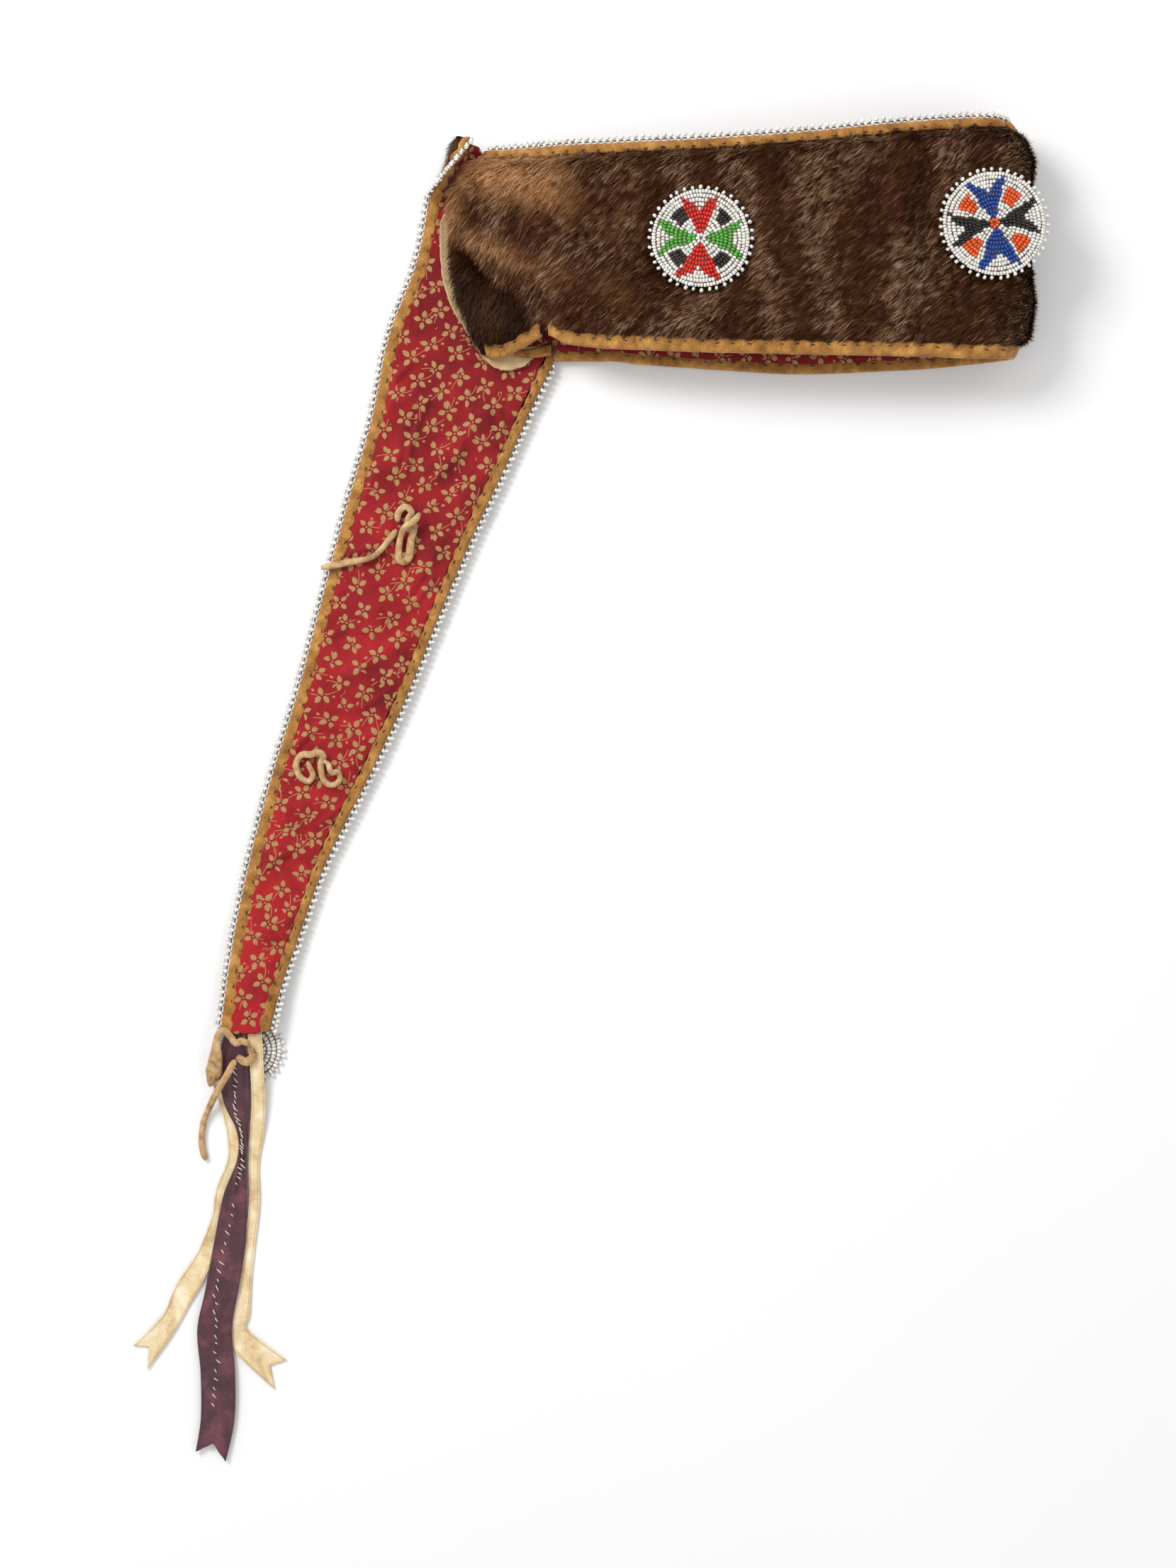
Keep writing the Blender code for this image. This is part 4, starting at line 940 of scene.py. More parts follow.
def fur_tree():
    """Hairs scattered over a field: each a curved tapering blade that leans along the field's flow."""
    tree, given, out = node_group("fur_blades", "GeometryNodeTree", [
        ("Field", "NodeSocketGeometry", None), ("Density", "NodeSocketFloat", 1.0e6),
        ("Length", "NodeSocketFloat", 0.008), ("Width", "NodeSocketFloat", 0.00025),
        ("Lift", "NodeSocketFloat", 0.3), ("Spread", "NodeSocketFloat", 0.25),
        ("Clump", "NodeSocketFloat", 0.4), ("Seed", "NodeSocketInt", 1),
        ("Hair", "NodeSocketMaterial", None)], [("Hairs", "NodeSocketGeometry")])
    cover = place_node(tree, "GeometryNodeInputNamedAttribute", {"Name": "cover"},
                       data_type="FLOAT").outputs[0]
    flow = place_node(tree, "GeometryNodeInputNamedAttribute", {"Name": "flow"},
                      data_type="FLOAT_VECTOR").outputs[0]
    scatter = place_node(tree, "GeometryNodeDistributePointsOnFaces", {
        "Mesh": given["Field"], "Density": calc(tree, "MULTIPLY", cover, given["Density"]),
        "Seed": given["Seed"]})
    place = tree.nodes.new("GeometryNodeInputPosition").outputs[0]
    stray = place_node(tree, "FunctionNodeRandomValue", {0: (-1.0, -1.0, -1.0), 1: (1.0, 1.0, 1.0)},
                       data_type="FLOAT_VECTOR").outputs[0]
    tuft = vec(tree, "SUBTRACT", noise(tree, place, 170.0, 2.0, output="Color"), (0.5, 0.5, 0.5))
    lean = vec(tree, "ADD", flow, scaled(tree, scatter.outputs["Normal"], given["Lift"]))
    lean = vec(tree, "ADD", lean, scaled(tree, stray, given["Spread"]))
    lean = vec(tree, "ADD", lean, scaled(tree, tuft, given["Clump"]))
    turn = place_node(tree, "FunctionNodeAxesToRotation", {
        "Primary Axis": lean, "Secondary Axis": scatter.outputs["Normal"]},
        primary_axis="Y", secondary_axis="Z").outputs[0]
    blade = place_node(tree, "GeometryNodeMeshGrid", {
        "Size X": 1.0, "Size Y": 1.0, "Vertices X": 2, "Vertices Y": 3}).outputs["Mesh"]
    x, y, _ = place_node(tree, "ShaderNodeSeparateXYZ", {0: place}).outputs
    along = calc(tree, "ADD", y, 0.5)
    taper = calc(tree, "SUBTRACT", 1.0, calc(tree, "POWER", along, 2.0))
    droop = calc(tree, "MULTIPLY", calc(tree, "MULTIPLY", along, calc(tree, "SUBTRACT", 1.0, along)), 0.35)
    shaped = place_node(tree, "ShaderNodeCombineXYZ",
                        {0: calc(tree, "MULTIPLY", x, taper), 1: along, 2: droop})
    blade = place_node(tree, "GeometryNodeStoreNamedAttribute", {
        "Geometry": blade, "Name": "along", "Value": along}, data_type="FLOAT", domain="POINT").outputs[0]
    blade = place_node(tree, "GeometryNodeSetPosition",
                       {"Geometry": blade, "Position": shaped.outputs[0]}).outputs[0]
    blade = place_node(tree, "GeometryNodeMergeByDistance",
                       {"Geometry": blade, "Distance": 0.0001}).outputs[0]
    vary = place_node(tree, "FunctionNodeRandomValue", {2: 0.65, 3: 1.2, "Seed": 5},
                      data_type="FLOAT").outputs[1]
    long = calc(tree, "MULTIPLY", vary, calc(tree, "MULTIPLY", given["Length"],
                                             calc(tree, "ADD", 0.35, calc(tree, "MULTIPLY", cover, 0.65))))
    size = place_node(tree, "ShaderNodeCombineXYZ", {0: given["Width"], 1: long, 2: long}).outputs[0]
    hairs = place_node(tree, "GeometryNodeInstanceOnPoints", {
        "Points": scatter.outputs["Points"], "Instance": blade, "Rotation": turn, "Scale": size}).outputs[0]
    chance = place_node(tree, "FunctionNodeRandomValue", {2: 0.0, 3: 0.7, "Seed": 9},
                        data_type="FLOAT").outputs[1]
    lock = calc(tree, "MULTIPLY", calc(tree, "SUBTRACT", noise(tree, place, 330.0, 2.0), 0.42), 2.1)
    tone = calc(tree, "ADD", chance, lock, clamp=True)
    hairs = place_node(tree, "GeometryNodeStoreNamedAttribute", {
        "Geometry": hairs, "Name": "tone", "Value": tone}, data_type="FLOAT", domain="INSTANCE").outputs[0]
    hairs = place_node(tree, "GeometryNodeRealizeInstances", {"Geometry": hairs}).outputs[0]
    hairs = place_node(tree, "GeometryNodeSetShadeSmooth", {"Geometry": hairs}).outputs[0]
    put(tree, out["Hairs"], place_node(tree, "GeometryNodeSetMaterial", {
        "Geometry": hairs, "Material": given["Hair"]}).outputs[0])
    return tree


def set_on_marks(name, shape_of):
    """A tree that sets a small shape on every mark, turned by the mark's aim and face, at its size."""
    tree, given, out = node_group(name, "GeometryNodeTree", [
        ("Marks", "NodeSocketGeometry", None), ("Finish", "NodeSocketMaterial", None)],
        [("Set", "NodeSocketGeometry")])
    shape = shape_of(tree)
    points = place_node(tree, "GeometryNodeMeshToPoints", {"Mesh": given["Marks"]}).outputs[0]
    aim, face, size = (place_node(tree, "GeometryNodeInputNamedAttribute", {"Name": label},
                                  data_type="FLOAT_VECTOR").outputs[0] for label in ("aim", "face", "size"))
    turn = place_node(tree, "FunctionNodeAxesToRotation", {"Primary Axis": aim, "Secondary Axis": face},
                      primary_axis="Z", secondary_axis="X").outputs[0]
    made = place_node(tree, "GeometryNodeInstanceOnPoints", {
        "Points": points, "Instance": shape, "Rotation": turn, "Scale": size}).outputs[0]
    made = place_node(tree, "GeometryNodeRealizeInstances", {"Geometry": made}).outputs[0]
    put(tree, out["Set"], place_node(tree, "GeometryNodeSetMaterial", {
        "Geometry": made, "Material": given["Finish"]}).outputs[0])
    return tree


def bead_shape(tree):
    """A bead of unit width round its own hole, which runs along Z."""
    hoop = place_node(tree, "GeometryNodeCurvePrimitiveCircle", {"Resolution": 9, "Radius": 0.30}).outputs[0]
    wall = place_node(tree, "GeometryNodeCurvePrimitiveCircle", {"Resolution": 5, "Radius": 0.20}).outputs[0]
    bead = place_node(tree, "GeometryNodeCurveToMesh", {"Curve": hoop, "Profile Curve": wall}).outputs[0]
    bead = place_node(tree, "GeometryNodeSetShadeSmooth", {"Geometry": bead}).outputs[0]
    place = tree.nodes.new("GeometryNodeInputPosition").outputs[0]
    longer = vec(tree, "MULTIPLY", place, (1.0, 1.0, 1.75))
    return place_node(tree, "GeometryNodeSetPosition", {"Geometry": bead, "Position": longer}).outputs[0]


def stitch_shape(tree):
    """A thread's short visible run along Z, thick in its middle, that dips at both ends."""
    rod = place_node(tree, "GeometryNodeMeshCylinder", {
        "Vertices": 6, "Side Segments": 4, "Radius": 0.5, "Depth": 1.0},
        fill_type="TRIANGLE_FAN").outputs["Mesh"]
    rod = place_node(tree, "GeometryNodeSetShadeSmooth", {"Geometry": rod}).outputs[0]
    x, y, z = place_node(tree, "ShaderNodeSeparateXYZ", {
        0: tree.nodes.new("GeometryNodeInputPosition").outputs[0]}).outputs
    thin = calc(tree, "SUBTRACT", 1.0, calc(tree, "MULTIPLY", calc(tree, "MULTIPLY", z, z), 2.6))
    dip = calc(tree, "MULTIPLY", calc(tree, "MULTIPLY", z, z), -1.6)
    bent = place_node(tree, "ShaderNodeCombineXYZ", {
        0: calc(tree, "ADD", calc(tree, "MULTIPLY", x, thin), dip), 1: calc(tree, "MULTIPLY", y, thin), 2: z})
    return place_node(tree, "GeometryNodeSetPosition",
                      {"Geometry": rod, "Position": bent.outputs[0]}).outputs[0]


FUR_BLADES = fur_tree()
BEADWORK = set_on_marks("beadwork", bead_shape)
STITCHES = set_on_marks("stitches", stitch_shape)
BEAD = bead_finish()


def marks(name, tree, material, places, aims, faces, sizes, tints=None):
    """Small shapes set at places, as one mesh."""
    places = np.asarray(places, float)
    base = bpy.data.meshes.new(name)
    base.from_pydata(places.tolist(), [], [])
    obj = bpy.data.objects.new(name + "_marks", base)
    bpy.context.scene.collection.objects.link(obj)
    sizes = np.broadcast_to(np.asarray(sizes, float), places.shape)
    give(obj, aim=np.asarray(aims), face=np.asarray(faces), size=sizes)
    if tints is not None:
        give(obj, tint=np.concatenate([np.asarray(tints), np.ones((len(places), 1))], 1))
    return grow(tree, name, obj, {"Finish": material})


# Edges: the frame of a strip's edge at many stations

def edge_frames(place, stations):
    """Edge points, the directions inward and through the strip, and the run along the edge."""
    here = np.array([place(s, 0.0, 0.0) for s in stations])
    inward = unit(np.array([place(s, 0.0015, 0.0) for s in stations]) - here)
    through = unit(np.array([place(s, 0.0, 0.001) for s in stations]) - here)
    run = np.concatenate([[0.0], np.cumsum(np.linalg.norm(np.diff(here, axis=0), axis=1))])
    return here, inward, through, run


def at_runs(frames, runs):
    """An edge's frames at the given runs along it."""
    here, inward, through, run = frames
    look = lambda data: np.stack([np.interp(runs, run, data[:, k]) for k in range(3)], 1)
    points = look(here)
    ahead = unit(np.gradient(points, axis=0)) if len(runs) > 1 else np.array([[1.0, 0.0, 0.0]])
    return points, unit(look(inward)), unit(look(through)), ahead


def bound_edge(name, frames, width, material, seed, shown=None):
    """A folded tape along an edge, puffed between its running stitches, and the stitches themselves.
    shown: the width on the calico side at each of the frames' stations, where it isn't the width."""
    rng = np.random.default_rng(seed)
    length = frames[3][-1]
    runs = np.linspace(0.0, length, int(length / 0.0008))
    here, inward, through, ahead = at_runs(frames, runs)
    drift = 0.0011 * np.sin(runs / 0.013) + 0.0007 * np.sin(runs / 0.0047 + 1.0)
    beside = (runs + drift + STITCH_PITCH / 2) % STITCH_PITCH - STITCH_PITCH / 2
    pucker = 1 - np.exp(-(beside / 0.0017) ** 2)
    puff = 0.30 + 0.85 * pucker + 0.12 * np.sin(runs / 0.0009 + 2.0 * np.sin(runs / 0.0051))
    shown = np.full(len(runs), width) if shown is None else np.interp(runs, frames[3], shown)
    wander = np.interp(runs, np.arange(0, length + 0.006, 0.006), rng.normal(0, 1, int(length / 0.006) + 2)[
        :len(np.arange(0, length + 0.006, 0.006))])
    swing = 1 + 0.10 * wander + 0.14 * (pucker - 0.7)
    low, high = -GAP, HIDE + GAP
    profile = [(1.00, low, 0.0), (1.00, low, 0.55), (0.80, low, 1.0), (0.35, low, 1.05), (0.0, low, 0.95),
               (-0.30, low, 0.45), (-0.36, (low + high) / 2, 0.0), (-0.30, high, 0.45), (0.0, high, 0.95),
               (0.35, high, 1.05), (0.80, high, 1.0), (1.00, high, 0.55), (1.00, high, 0.0),
               (0.0, high - GAP, 0.0), (0.0, low + GAP, 0.0)]
    rings = []
    for share, level, swell in profile:
        rise = swell * TAPE * np.where(level < HIDE / 2, -1, 1) * puff
        reach = (shown if level < HIDE / 2 else width) * swing
        inset = share * (reach if share > 0 else (GAP + TAPE) / 0.36)
        rings.append(here + inward * (inset * np.ones(len(runs)))[:, None] + through * (level + rise)[:,
                                                                                                      None])
    rings = np.stack(rings, 1)
    count, around = rings.shape[:2]
    index = np.arange(count * around).reshape(count, around)
    after = np.roll(index, -1, axis=1)
    quads = np.stack([index[:-1], after[:-1], after[1:], index[1:]], -1).reshape(-1, 4)
    faces = quads.tolist() + [index[0].tolist(), index[-1].tolist()]
    tape = mesh_object(name, rings.reshape(-1, 3), faces, material)
    spots = np.arange(STITCH_PITCH, length - STITCH_PITCH, STITCH_PITCH)
    spots = spots + rng.uniform(-0.0004, 0.0004, len(spots))
    deep = np.interp(spots, runs, shown)[:, None]
    here, inward, through, ahead = at_runs(frames, spots)
    aside = rng.uniform(0.50, 0.66, (len(spots), 1))
    places = np.concatenate([here + inward * width * aside + through * (high + 0.62 * TAPE),
                             here + inward * deep * aside + through * (low - 0.62 * TAPE)])
    aims = unit(ahead + inward * rng.uniform(-0.25, 0.25, (len(spots), 1)))
    longs = rng.uniform(0.75, 1.15, len(places)) * STITCH_LONG
    sizes = np.stack([np.full(len(places), STITCH_WIDE), np.full(len(places), STITCH_WIDE), longs], 1)
    thread = marks(name + "_stitches", STITCHES, THREAD, places, np.concatenate([aims, aims]),
                   np.concatenate([through, -through]), sizes)
    return tape, thread


def edge_beadwork(name, frames, seed):
    """Seed beads sewn in a zigzag along an edge: every second one stands out as a picot."""
    rng = np.random.default_rng(seed)
    runs = np.arange(EDGE_PITCH / 4, frames[3][-1], EDGE_PITCH / 2)
    here, inward, through, ahead = at_runs(frames, runs)
    middle = here - inward * BEAD_OUT + through * HIDE / 2
    outer = np.arange(len(runs)) % 2
    shift = np.where(outer, 0.00100, -0.00070)[:, None] + rng.normal(0, 0.00012, (len(runs), 1))
    places = middle - inward * shift + ahead * rng.normal(0, 0.00012, (len(runs), 1))
    lying = unit(ahead + inward * 0.5 + through * rng.normal(0, 0.15, (len(runs), 1)))
    standing = unit(ahead * 0.75 - inward * 0.65 + through * rng.normal(0.25, 0.25, (len(runs), 1)))
    aims = np.where(outer[:, None] > 0, standing, lying)
    sizes = EDGE_SEED * rng.uniform(0.88, 1.08, (len(runs), 1)) * np.ones(3)
    tints = np.array(WHITE) * rng.uniform(0.86, 1.05, (len(runs), 1))
    beads = marks(name, BEADWORK, BEAD, places, aims, through, sizes, tints)
    core = tube_mesh(name + "_thread", here - inward * (BEAD_OUT - 0.0007) + through * HIDE / 2, 0.0008,
                     0.0006,
                     DARK_THREAD)
    return beads, core


def tube_mesh(name, points, wide, thick, material, seed=0, rough=0.0, widths=None, normals=None):
    """A round or flattened bar along points, closed at both ends, with an uneven width."""
    rng = np.random.default_rng(seed)
    points = np.asarray(points, float)
    count, around = len(points), 10
    ahead = unit(np.gradient(points, axis=0))
    up = np.tile([0.0, 0.0, 1.0], (count, 1)) if normals is None else np.asarray(normals, float)
    side = unit(np.cross(up, ahead))
    up = unit(np.cross(ahead, side))
    swell = 1 + rough * np.interp(np.arange(count), np.arange(0, count + 4, 4), rng.normal(0, 1, len(
        np.arange(0, count + 4, 4))))
    spread = wide * swell * (1 if widths is None else np.asarray(widths))
    end = np.minimum(1.0, np.minimum(np.arange(count) + 0.6, np.arange(count)[::-1] + 0.6) / 2.2) ** 0.5
    turn = np.linspace(0, 2 * math.pi, around, endpoint=False)
    rings = (points[:, None] + side[:,
                                    None] * (np.cos(turn)[None, :, None] * (spread * end / 2)[:, None, None])
             + up[:, None] * (np.sin(turn)[None, :, None] * (thick * swell * end / 2)[:, None, None]))
    index = np.arange(count * around).reshape(count, around)
    after = np.roll(index, -1, axis=1)
    quads = np.stack([index[:-1], after[:-1], after[1:], index[1:]], -1).reshape(-1, 4)
    return mesh_object(name, rings.reshape(-1, 3), quads.tolist() + [index[0].tolist(), index[-1].tolist()],
                       material)


# Finishes

CALICO = calico_finish("calico")
OCHRE_TAPE = leather_finish("ochre_tape", (0.14, 0.056, 0.010), (0.34, 0.150, 0.030), (0.56, 0.29, 0.075),
                            140.0)
CREAM_HIDE = leather_finish("cream_hide", (0.30, 0.19, 0.085), (0.50, 0.35, 0.18), (0.68, 0.52, 0.32), 110.0)
BUCKSKIN = leather_finish("buckskin_tie", (0.20, 0.105, 0.040), (0.46, 0.28, 0.125), (0.66, 0.47, 0.26),
                          230.0)
SILK_PURPLE = silk_finish("purple_silk", (0.022, 0.004, 0.008), (0.070, 0.014, 0.024), (0.21, 0.050, 0.075),
                          7000.0)
SILK_CREAM = silk_finish("cream_silk", (0.36, 0.19, 0.07), (0.76, 0.57, 0.31), (0.97, 0.89, 0.70), 12000.0)
THREAD = thread_finish("waxed_thread", (0.055, 0.028, 0.010))
DARK_THREAD = thread_finish("dark_thread", (0.13, 0.09, 0.06))
WHITE_THREAD = thread_finish("white_thread", (0.78, 0.72, 0.62))
PELT = pelt_finish("underfur", (0.010, 0.003, 0.001), (0.024, 0.008, 0.003), (0.046, 0.016, 0.006))
BACKING = leather_finish("rosette_backing", (0.10, 0.06, 0.04), (0.18, 0.11, 0.07), (0.26, 0.17, 0.11))
# The hair's root brown, also the colour of the painted shade on the hair.
HAIR_ROOT_AND_SHADE = (0.010, 0.0028, 0.0010)
HAIR_RUST = (0.20, 0.066, 0.020)
HAIR_GOLD = (0.98, 0.50, 0.21)
UNDER_HAIR = hair_finish("under_hair", 0.03, 0.95, (0.013, 0.0035, 0.0012), (0.105, 0.029, 0.008),
                         (0.24, 0.11, 0.05))
MID_HAIR = hair_finish("mid_hair", 0.06, 0.80, (0.019, 0.005, 0.0017), (0.150, 0.044, 0.013),
                       (0.52, 0.29, 0.16))
GUARD_HAIR = hair_finish("guard_hair", 0.17, 0.55, (0.024, 0.007, 0.0026), (0.200, 0.066, 0.022),
                         (0.95, 0.68, 0.47))


# Camera, light and floor

def studio():
    camera = bpy.data.cameras.new("photo_camera")
    camera.lens, camera.sensor_width, camera.sensor_fit = LENS, SENSOR, "AUTO"
    seen = bpy.data.objects.new("photo_camera", camera)
    seen.location = CAMERA_AT
    bpy.context.scene.collection.objects.link(seen)
    bpy.context.scene.camera = seen
    bpy.context.scene.view_settings.view_transform = "Standard"
    world = bpy.data.worlds.new("soft_room")
    bpy.context.scene.world = world
    world.use_nodes = True
    world.node_tree.nodes["Background"].inputs["Color"].default_value = (1.0, 1.0, 1.0, 1)
    world.node_tree.nodes["Background"].inputs["Strength"].default_value = ROOM_LIGHT
    for name, at, size, power in LAMPS:
        lamp = bpy.data.lights.new(name, "AREA")
        lamp.size, lamp.energy = size, power
        held = bpy.data.objects.new(name, lamp)
        held.location = at
        aim = Vector((CAMERA_AT[0], CAMERA_AT[1], 0)) - Vector(at)
        held.rotation_euler = aim.to_track_quat("-Z", "Y").to_euler()
        bpy.context.scene.collection.objects.link(held)
    material, tree, shader = new_finish("white_floor", 0.9, Specular_IOR_Level=0.1)
    shade = noise(tree, object_place(tree), 3.0, 2.0)
    put(tree, shader.inputs["Base Color"], mixed(tree, shade, (0.86, 0.86, 0.86, 1), (0.89, 0.89, 0.89, 1)))
    half = FLOOR_SIZE / 2
    x, y = CAMERA_AT[:2]
    floor = mesh_object("floor", [(x - half, y - half, 0), (x + half, y - half, 0), (x + half, y + half, 0),
                                  (x - half, y + half, 0)], [[0, 1, 2, 3]], material, closed=False)


ROOM_LIGHT = 0.75
LAMPS = [
    ("key_upper_left", (-0.85, 0.45, 1.05), 0.55, 14.0),
    ("fill_right", (0.9, -0.6, 1.3), 1.2, 3.0),
]
FLOOR_SIZE = 6.0

studio()


def finish_piece(obj, *nodes, slot):
    """Rides on the body and stands for the nodes given, which it hides; slot is not used."""
    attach(obj, "root")
    if nodes:
        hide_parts(*nodes)
    return obj


# Band: the pelt, its hairs and its lining

def shares_across(span, south, north, middle):
    """Columns across a strip, close together where the fur rises from its bare edges."""
    first = np.array([0.0, south, south + FUR_RAMP * 0.25, south + FUR_RAMP * 0.5, south + FUR_RAMP * 0.75])
    last = span - np.array([0.0, north, north + FUR_RAMP * 0.25, north + FUR_RAMP * 0.5,
                            north + FUR_RAMP * 0.75])
    inner = np.linspace(south + FUR_RAMP, span - north - FUR_RAMP, middle)
    return np.concatenate([first, inner, last[::-1]]) / span


def pelt_tone(place):
    """How golden the band's hair is at a place, how much painted shade darkens it there, and how much painted
    glint pales its tips.
    """
    x, y = place.x / BAND_WIDTH, place.y / BAND_WIDTH
    corner = ease((-0.68 - x) / 0.40) * ease((y - 0.05 + 0.30 * (x + 1.1)) / 0.28)
    ridge = 0.55 * math.exp(-((y + 0.02 + 0.55 * (x + 1.25)) / 0.055) ** 2 - ((x + 1.20) / 0.24) ** 2)
    rim = 0.7 * math.exp(-((x + 1.42) / 0.07) ** 2) * ease((y + 0.05) / 0.2)
    mottle = 0.14 * math.sin(14 * x + 9 * y) * math.sin(11 * y - 6 * x + 1.0)
    warm = min(1.0, max(0.0, max(corner, ridge, rim) + mottle * ease((-0.3 - x) / 0.4) + 0.04))
    # Painted shade (deep): darker in the dent's hollow, towards the lower left, in the lanes between the lit
    # streaks on the right, and over the left side outside the golden corner, all over a small even darkening.
    below = (y + 0.12) + 0.95 * (x + 1.34)
    hollow = ease((-below + 0.02) / 0.16) * ease((-0.98 - x) / 0.12) + 0.8 * math.exp(
        -(below / 0.07) ** 2) * ease((-0.92 - x) / 0.14) * ease((x + 1.44) / 0.08)
    seam = 0.5 * ease((-0.40 - y) / 0.10) * ease((-0.75 - x) / 0.2)
    streak = 0.5 + 0.5 * math.sin(15.5 * x + 2.2 * math.sin(3.1 * y + 4 * x) + 0.6)
    band = 0.5 + 0.5 * math.sin(9.0 * x - 10.5 * y + 2.0 * math.sin(5 * x + 3.0 * y))
    right = ease((x + 0.75) / 0.4)
    shaded = 0.16 * (1 - right) * (1 - corner)
    deep = min(1.0, max(0.0, hollow + seam + 0.34 * right * (1 - streak) + shaded + 0.14))
    # Painted glint: lit streaks on the right and lit bands on the left, with fewer in the dent.
    glint = 0.30 + 0.42 * (streak * right + 0.60 * band * (1 - right)) - 0.2 * hollow
    return warm, deep, glint


def band_pelt():
    stations = np.concatenate([np.linspace(0, 1, 36, endpoint=False), np.linspace(1, 2, 26, endpoint=False),
                               np.linspace(2, 3, 120)])
    south, north = BINDING_WIDTH + 2 * GAP, NARROW_BINDING + 2 * GAP
    top, bottom, cover, lean, looks = [], [], [], [], []
    for station in stations:
        row = band_row(station)
        span = row[6] - row[5]
        shares = shares_across(span, south, north, 46)
        ups, downs, covers, leans, seen = [], [], [], [], []
        for across in shares:
            rise = min(ramp(across * span, south), ramp((1 - across) * span, north))
            if station > 2:
                rise *= ease((3 - station) / 0.020)
            base = band_point(row, across, 0, HIDE)
            depth = max(0.0002, rise * (fur_depth(station, base) - UNDERFUR_DROP))
            ups.append(band_point(row, across, 0, HIDE + depth))
            downs.append(band_point(row, across, 0, 0))
            edge = min(across * span - south, (1 - across) * span - north + 0.0022) / 0.0010
            covers.append((1 - 0.9 * beneath_rosette(base)) * ease(edge))
            seen.append(pelt_tone(base))
            west = min(1.0, max(0.0, (base.x - BAND_LEFT) / 0.125))
            wall = ease((station - 1.6) / 0.5)
            leans.append((HAIR_LEAN_LEFT + (HAIR_LEAN_RIGHT - HAIR_LEAN_LEFT) * west) * wall
                         + 0.25 * (1 - wall))
        top.append(ups)
        bottom.append(downs)
        cover.append(covers)
        lean.append(leans)
        looks.append(seen)
    top, bottom, cover, lean = np.array(top), np.array(bottom), np.array(cover), np.array(lean)[..., None]
    pelt = closed_sheet("band_pelt", top, bottom, PELT)
    finish_piece(pelt, "band_fur", slot="fur")
    onward = unit(np.gradient(top, axis=0))
    southward = -unit(np.gradient(top, axis=1))
    flow = unit(onward * np.cos(lean) + southward * np.sin(lean))
    return stations, top, flow, cover, np.array(looks)


def beneath_rosette(point):
    """1 where a rosette covers the fur."""
    covered = 0.0
    for centre, radius in ((ROSETTE_LEFT_AT, ROSETTE_LEFT_RADIUS), (ROSETTE_RIGHT_AT, ROSETTE_RIGHT_RADIUS)):
        away = math.hypot(point.x - centre[0], point.y - centre[1])
        covered = max(covered, 1 - ease((away - radius + 0.003) / 0.003))
    return covered


def hairs(name, points, flow, cover, looks, material, **sizes):
    # looks hold each point's golden tone, painted shade and painted glint.
    warm, deep, glint = looks.reshape(-1, 3).T
    base = field(name + "_field", points, flow=flow.reshape(-1, 3), cover=cover.reshape(-1), warm=warm,
                 deep=deep,
                 glint=glint)
    obj = grow(FUR_BLADES, name, base, {"Hair": material, **sizes})
    return finish_piece(obj, slot="fur")


def band_hairs(stations, points, flow, cover, looks):
    upper, lower = stations >= 1.05, stations <= 1.1
    outer = points[upper], flow[upper], cover[upper], looks[upper]
    inner = points[lower], flow[lower], cover[lower], looks[lower]
    hairs("band_under_hair", *outer, UNDER_HAIR, Density=1.45e6, Length=0.0050, Width=0.00036, Lift=0.42,
          Spread=0.34, Clump=0.7, Seed=1)
    hairs("band_mid_hair", *outer, MID_HAIR, Density=1.45e6, Length=0.0066, Width=0.00030, Lift=0.32,
          Spread=0.24, Clump=0.6, Seed=2)
    hairs("band_guard_hair", *outer, GUARD_HAIR, Density=1.1e6, Length=0.0078, Width=0.00022, Lift=0.28,
          Spread=0.22, Clump=0.45, Seed=3)
    hairs("band_lower_hair", *inner, UNDER_HAIR, Density=0.7e6, Length=0.0050, Width=0.00036, Lift=0.10,
          Spread=0.25, Clump=0.4, Seed=4)


def mouth_shown(station):
    """The mouth tape's width on the calico side: narrower on the lower wall, where the print shows."""
    return MOUTH_SHOWN + (BINDING_WIDTH + GAP + 0.0006 - MOUTH_SHOWN) * ease(station - 1.1)


def band_inside():
    """The calico that lines the band, seen through its open ends and beside the mouth."""
    stations = np.concatenate([np.linspace(0, 1, 60, endpoint=False), np.linspace(1, 2, 24, endpoint=False),
                               np.linspace(2, 2.93, 70)])
    north = NARROW_BINDING + GAP
    shares = np.linspace(0, 1, 34)
    top, bottom = [], []
    for station in stations:
        row = band_row(station)
        south = mouth_shown(station) - 0.0006
        low = band_point(row, 0, south, -GAP)
        high = band_point(row, 1, north, -GAP)
        inner_low = band_point(row, 0, south, -GAP - LINING)
        inner_high = band_point(row, 1, north, -GAP - LINING)
        ripple = [0.12 * math.sin(9 * station + 5 * s) * math.sin(math.pi * s) for s in shares]
        top.append([inner_low.lerp(inner_high, s) + (low - inner_low) * max(0.0, r) for s,
                    r in zip(shares, ripple)])
        bottom.append([low.lerp(high, s) for s in shares])
    top, bottom = np.array(top), np.array(bottom)
    run = np.concatenate([[0.0], np.cumsum(np.linalg.norm(np.diff(top[:, 17], axis=0), axis=1))])
    flat = np.stack([np.broadcast_to(run[:, None], top.shape[:2]), top[..., 1]], -1)
    lining = closed_sheet("band_calico", top, bottom, CALICO, flat)
    finish_piece(lining, "band_lining", slot="calico")


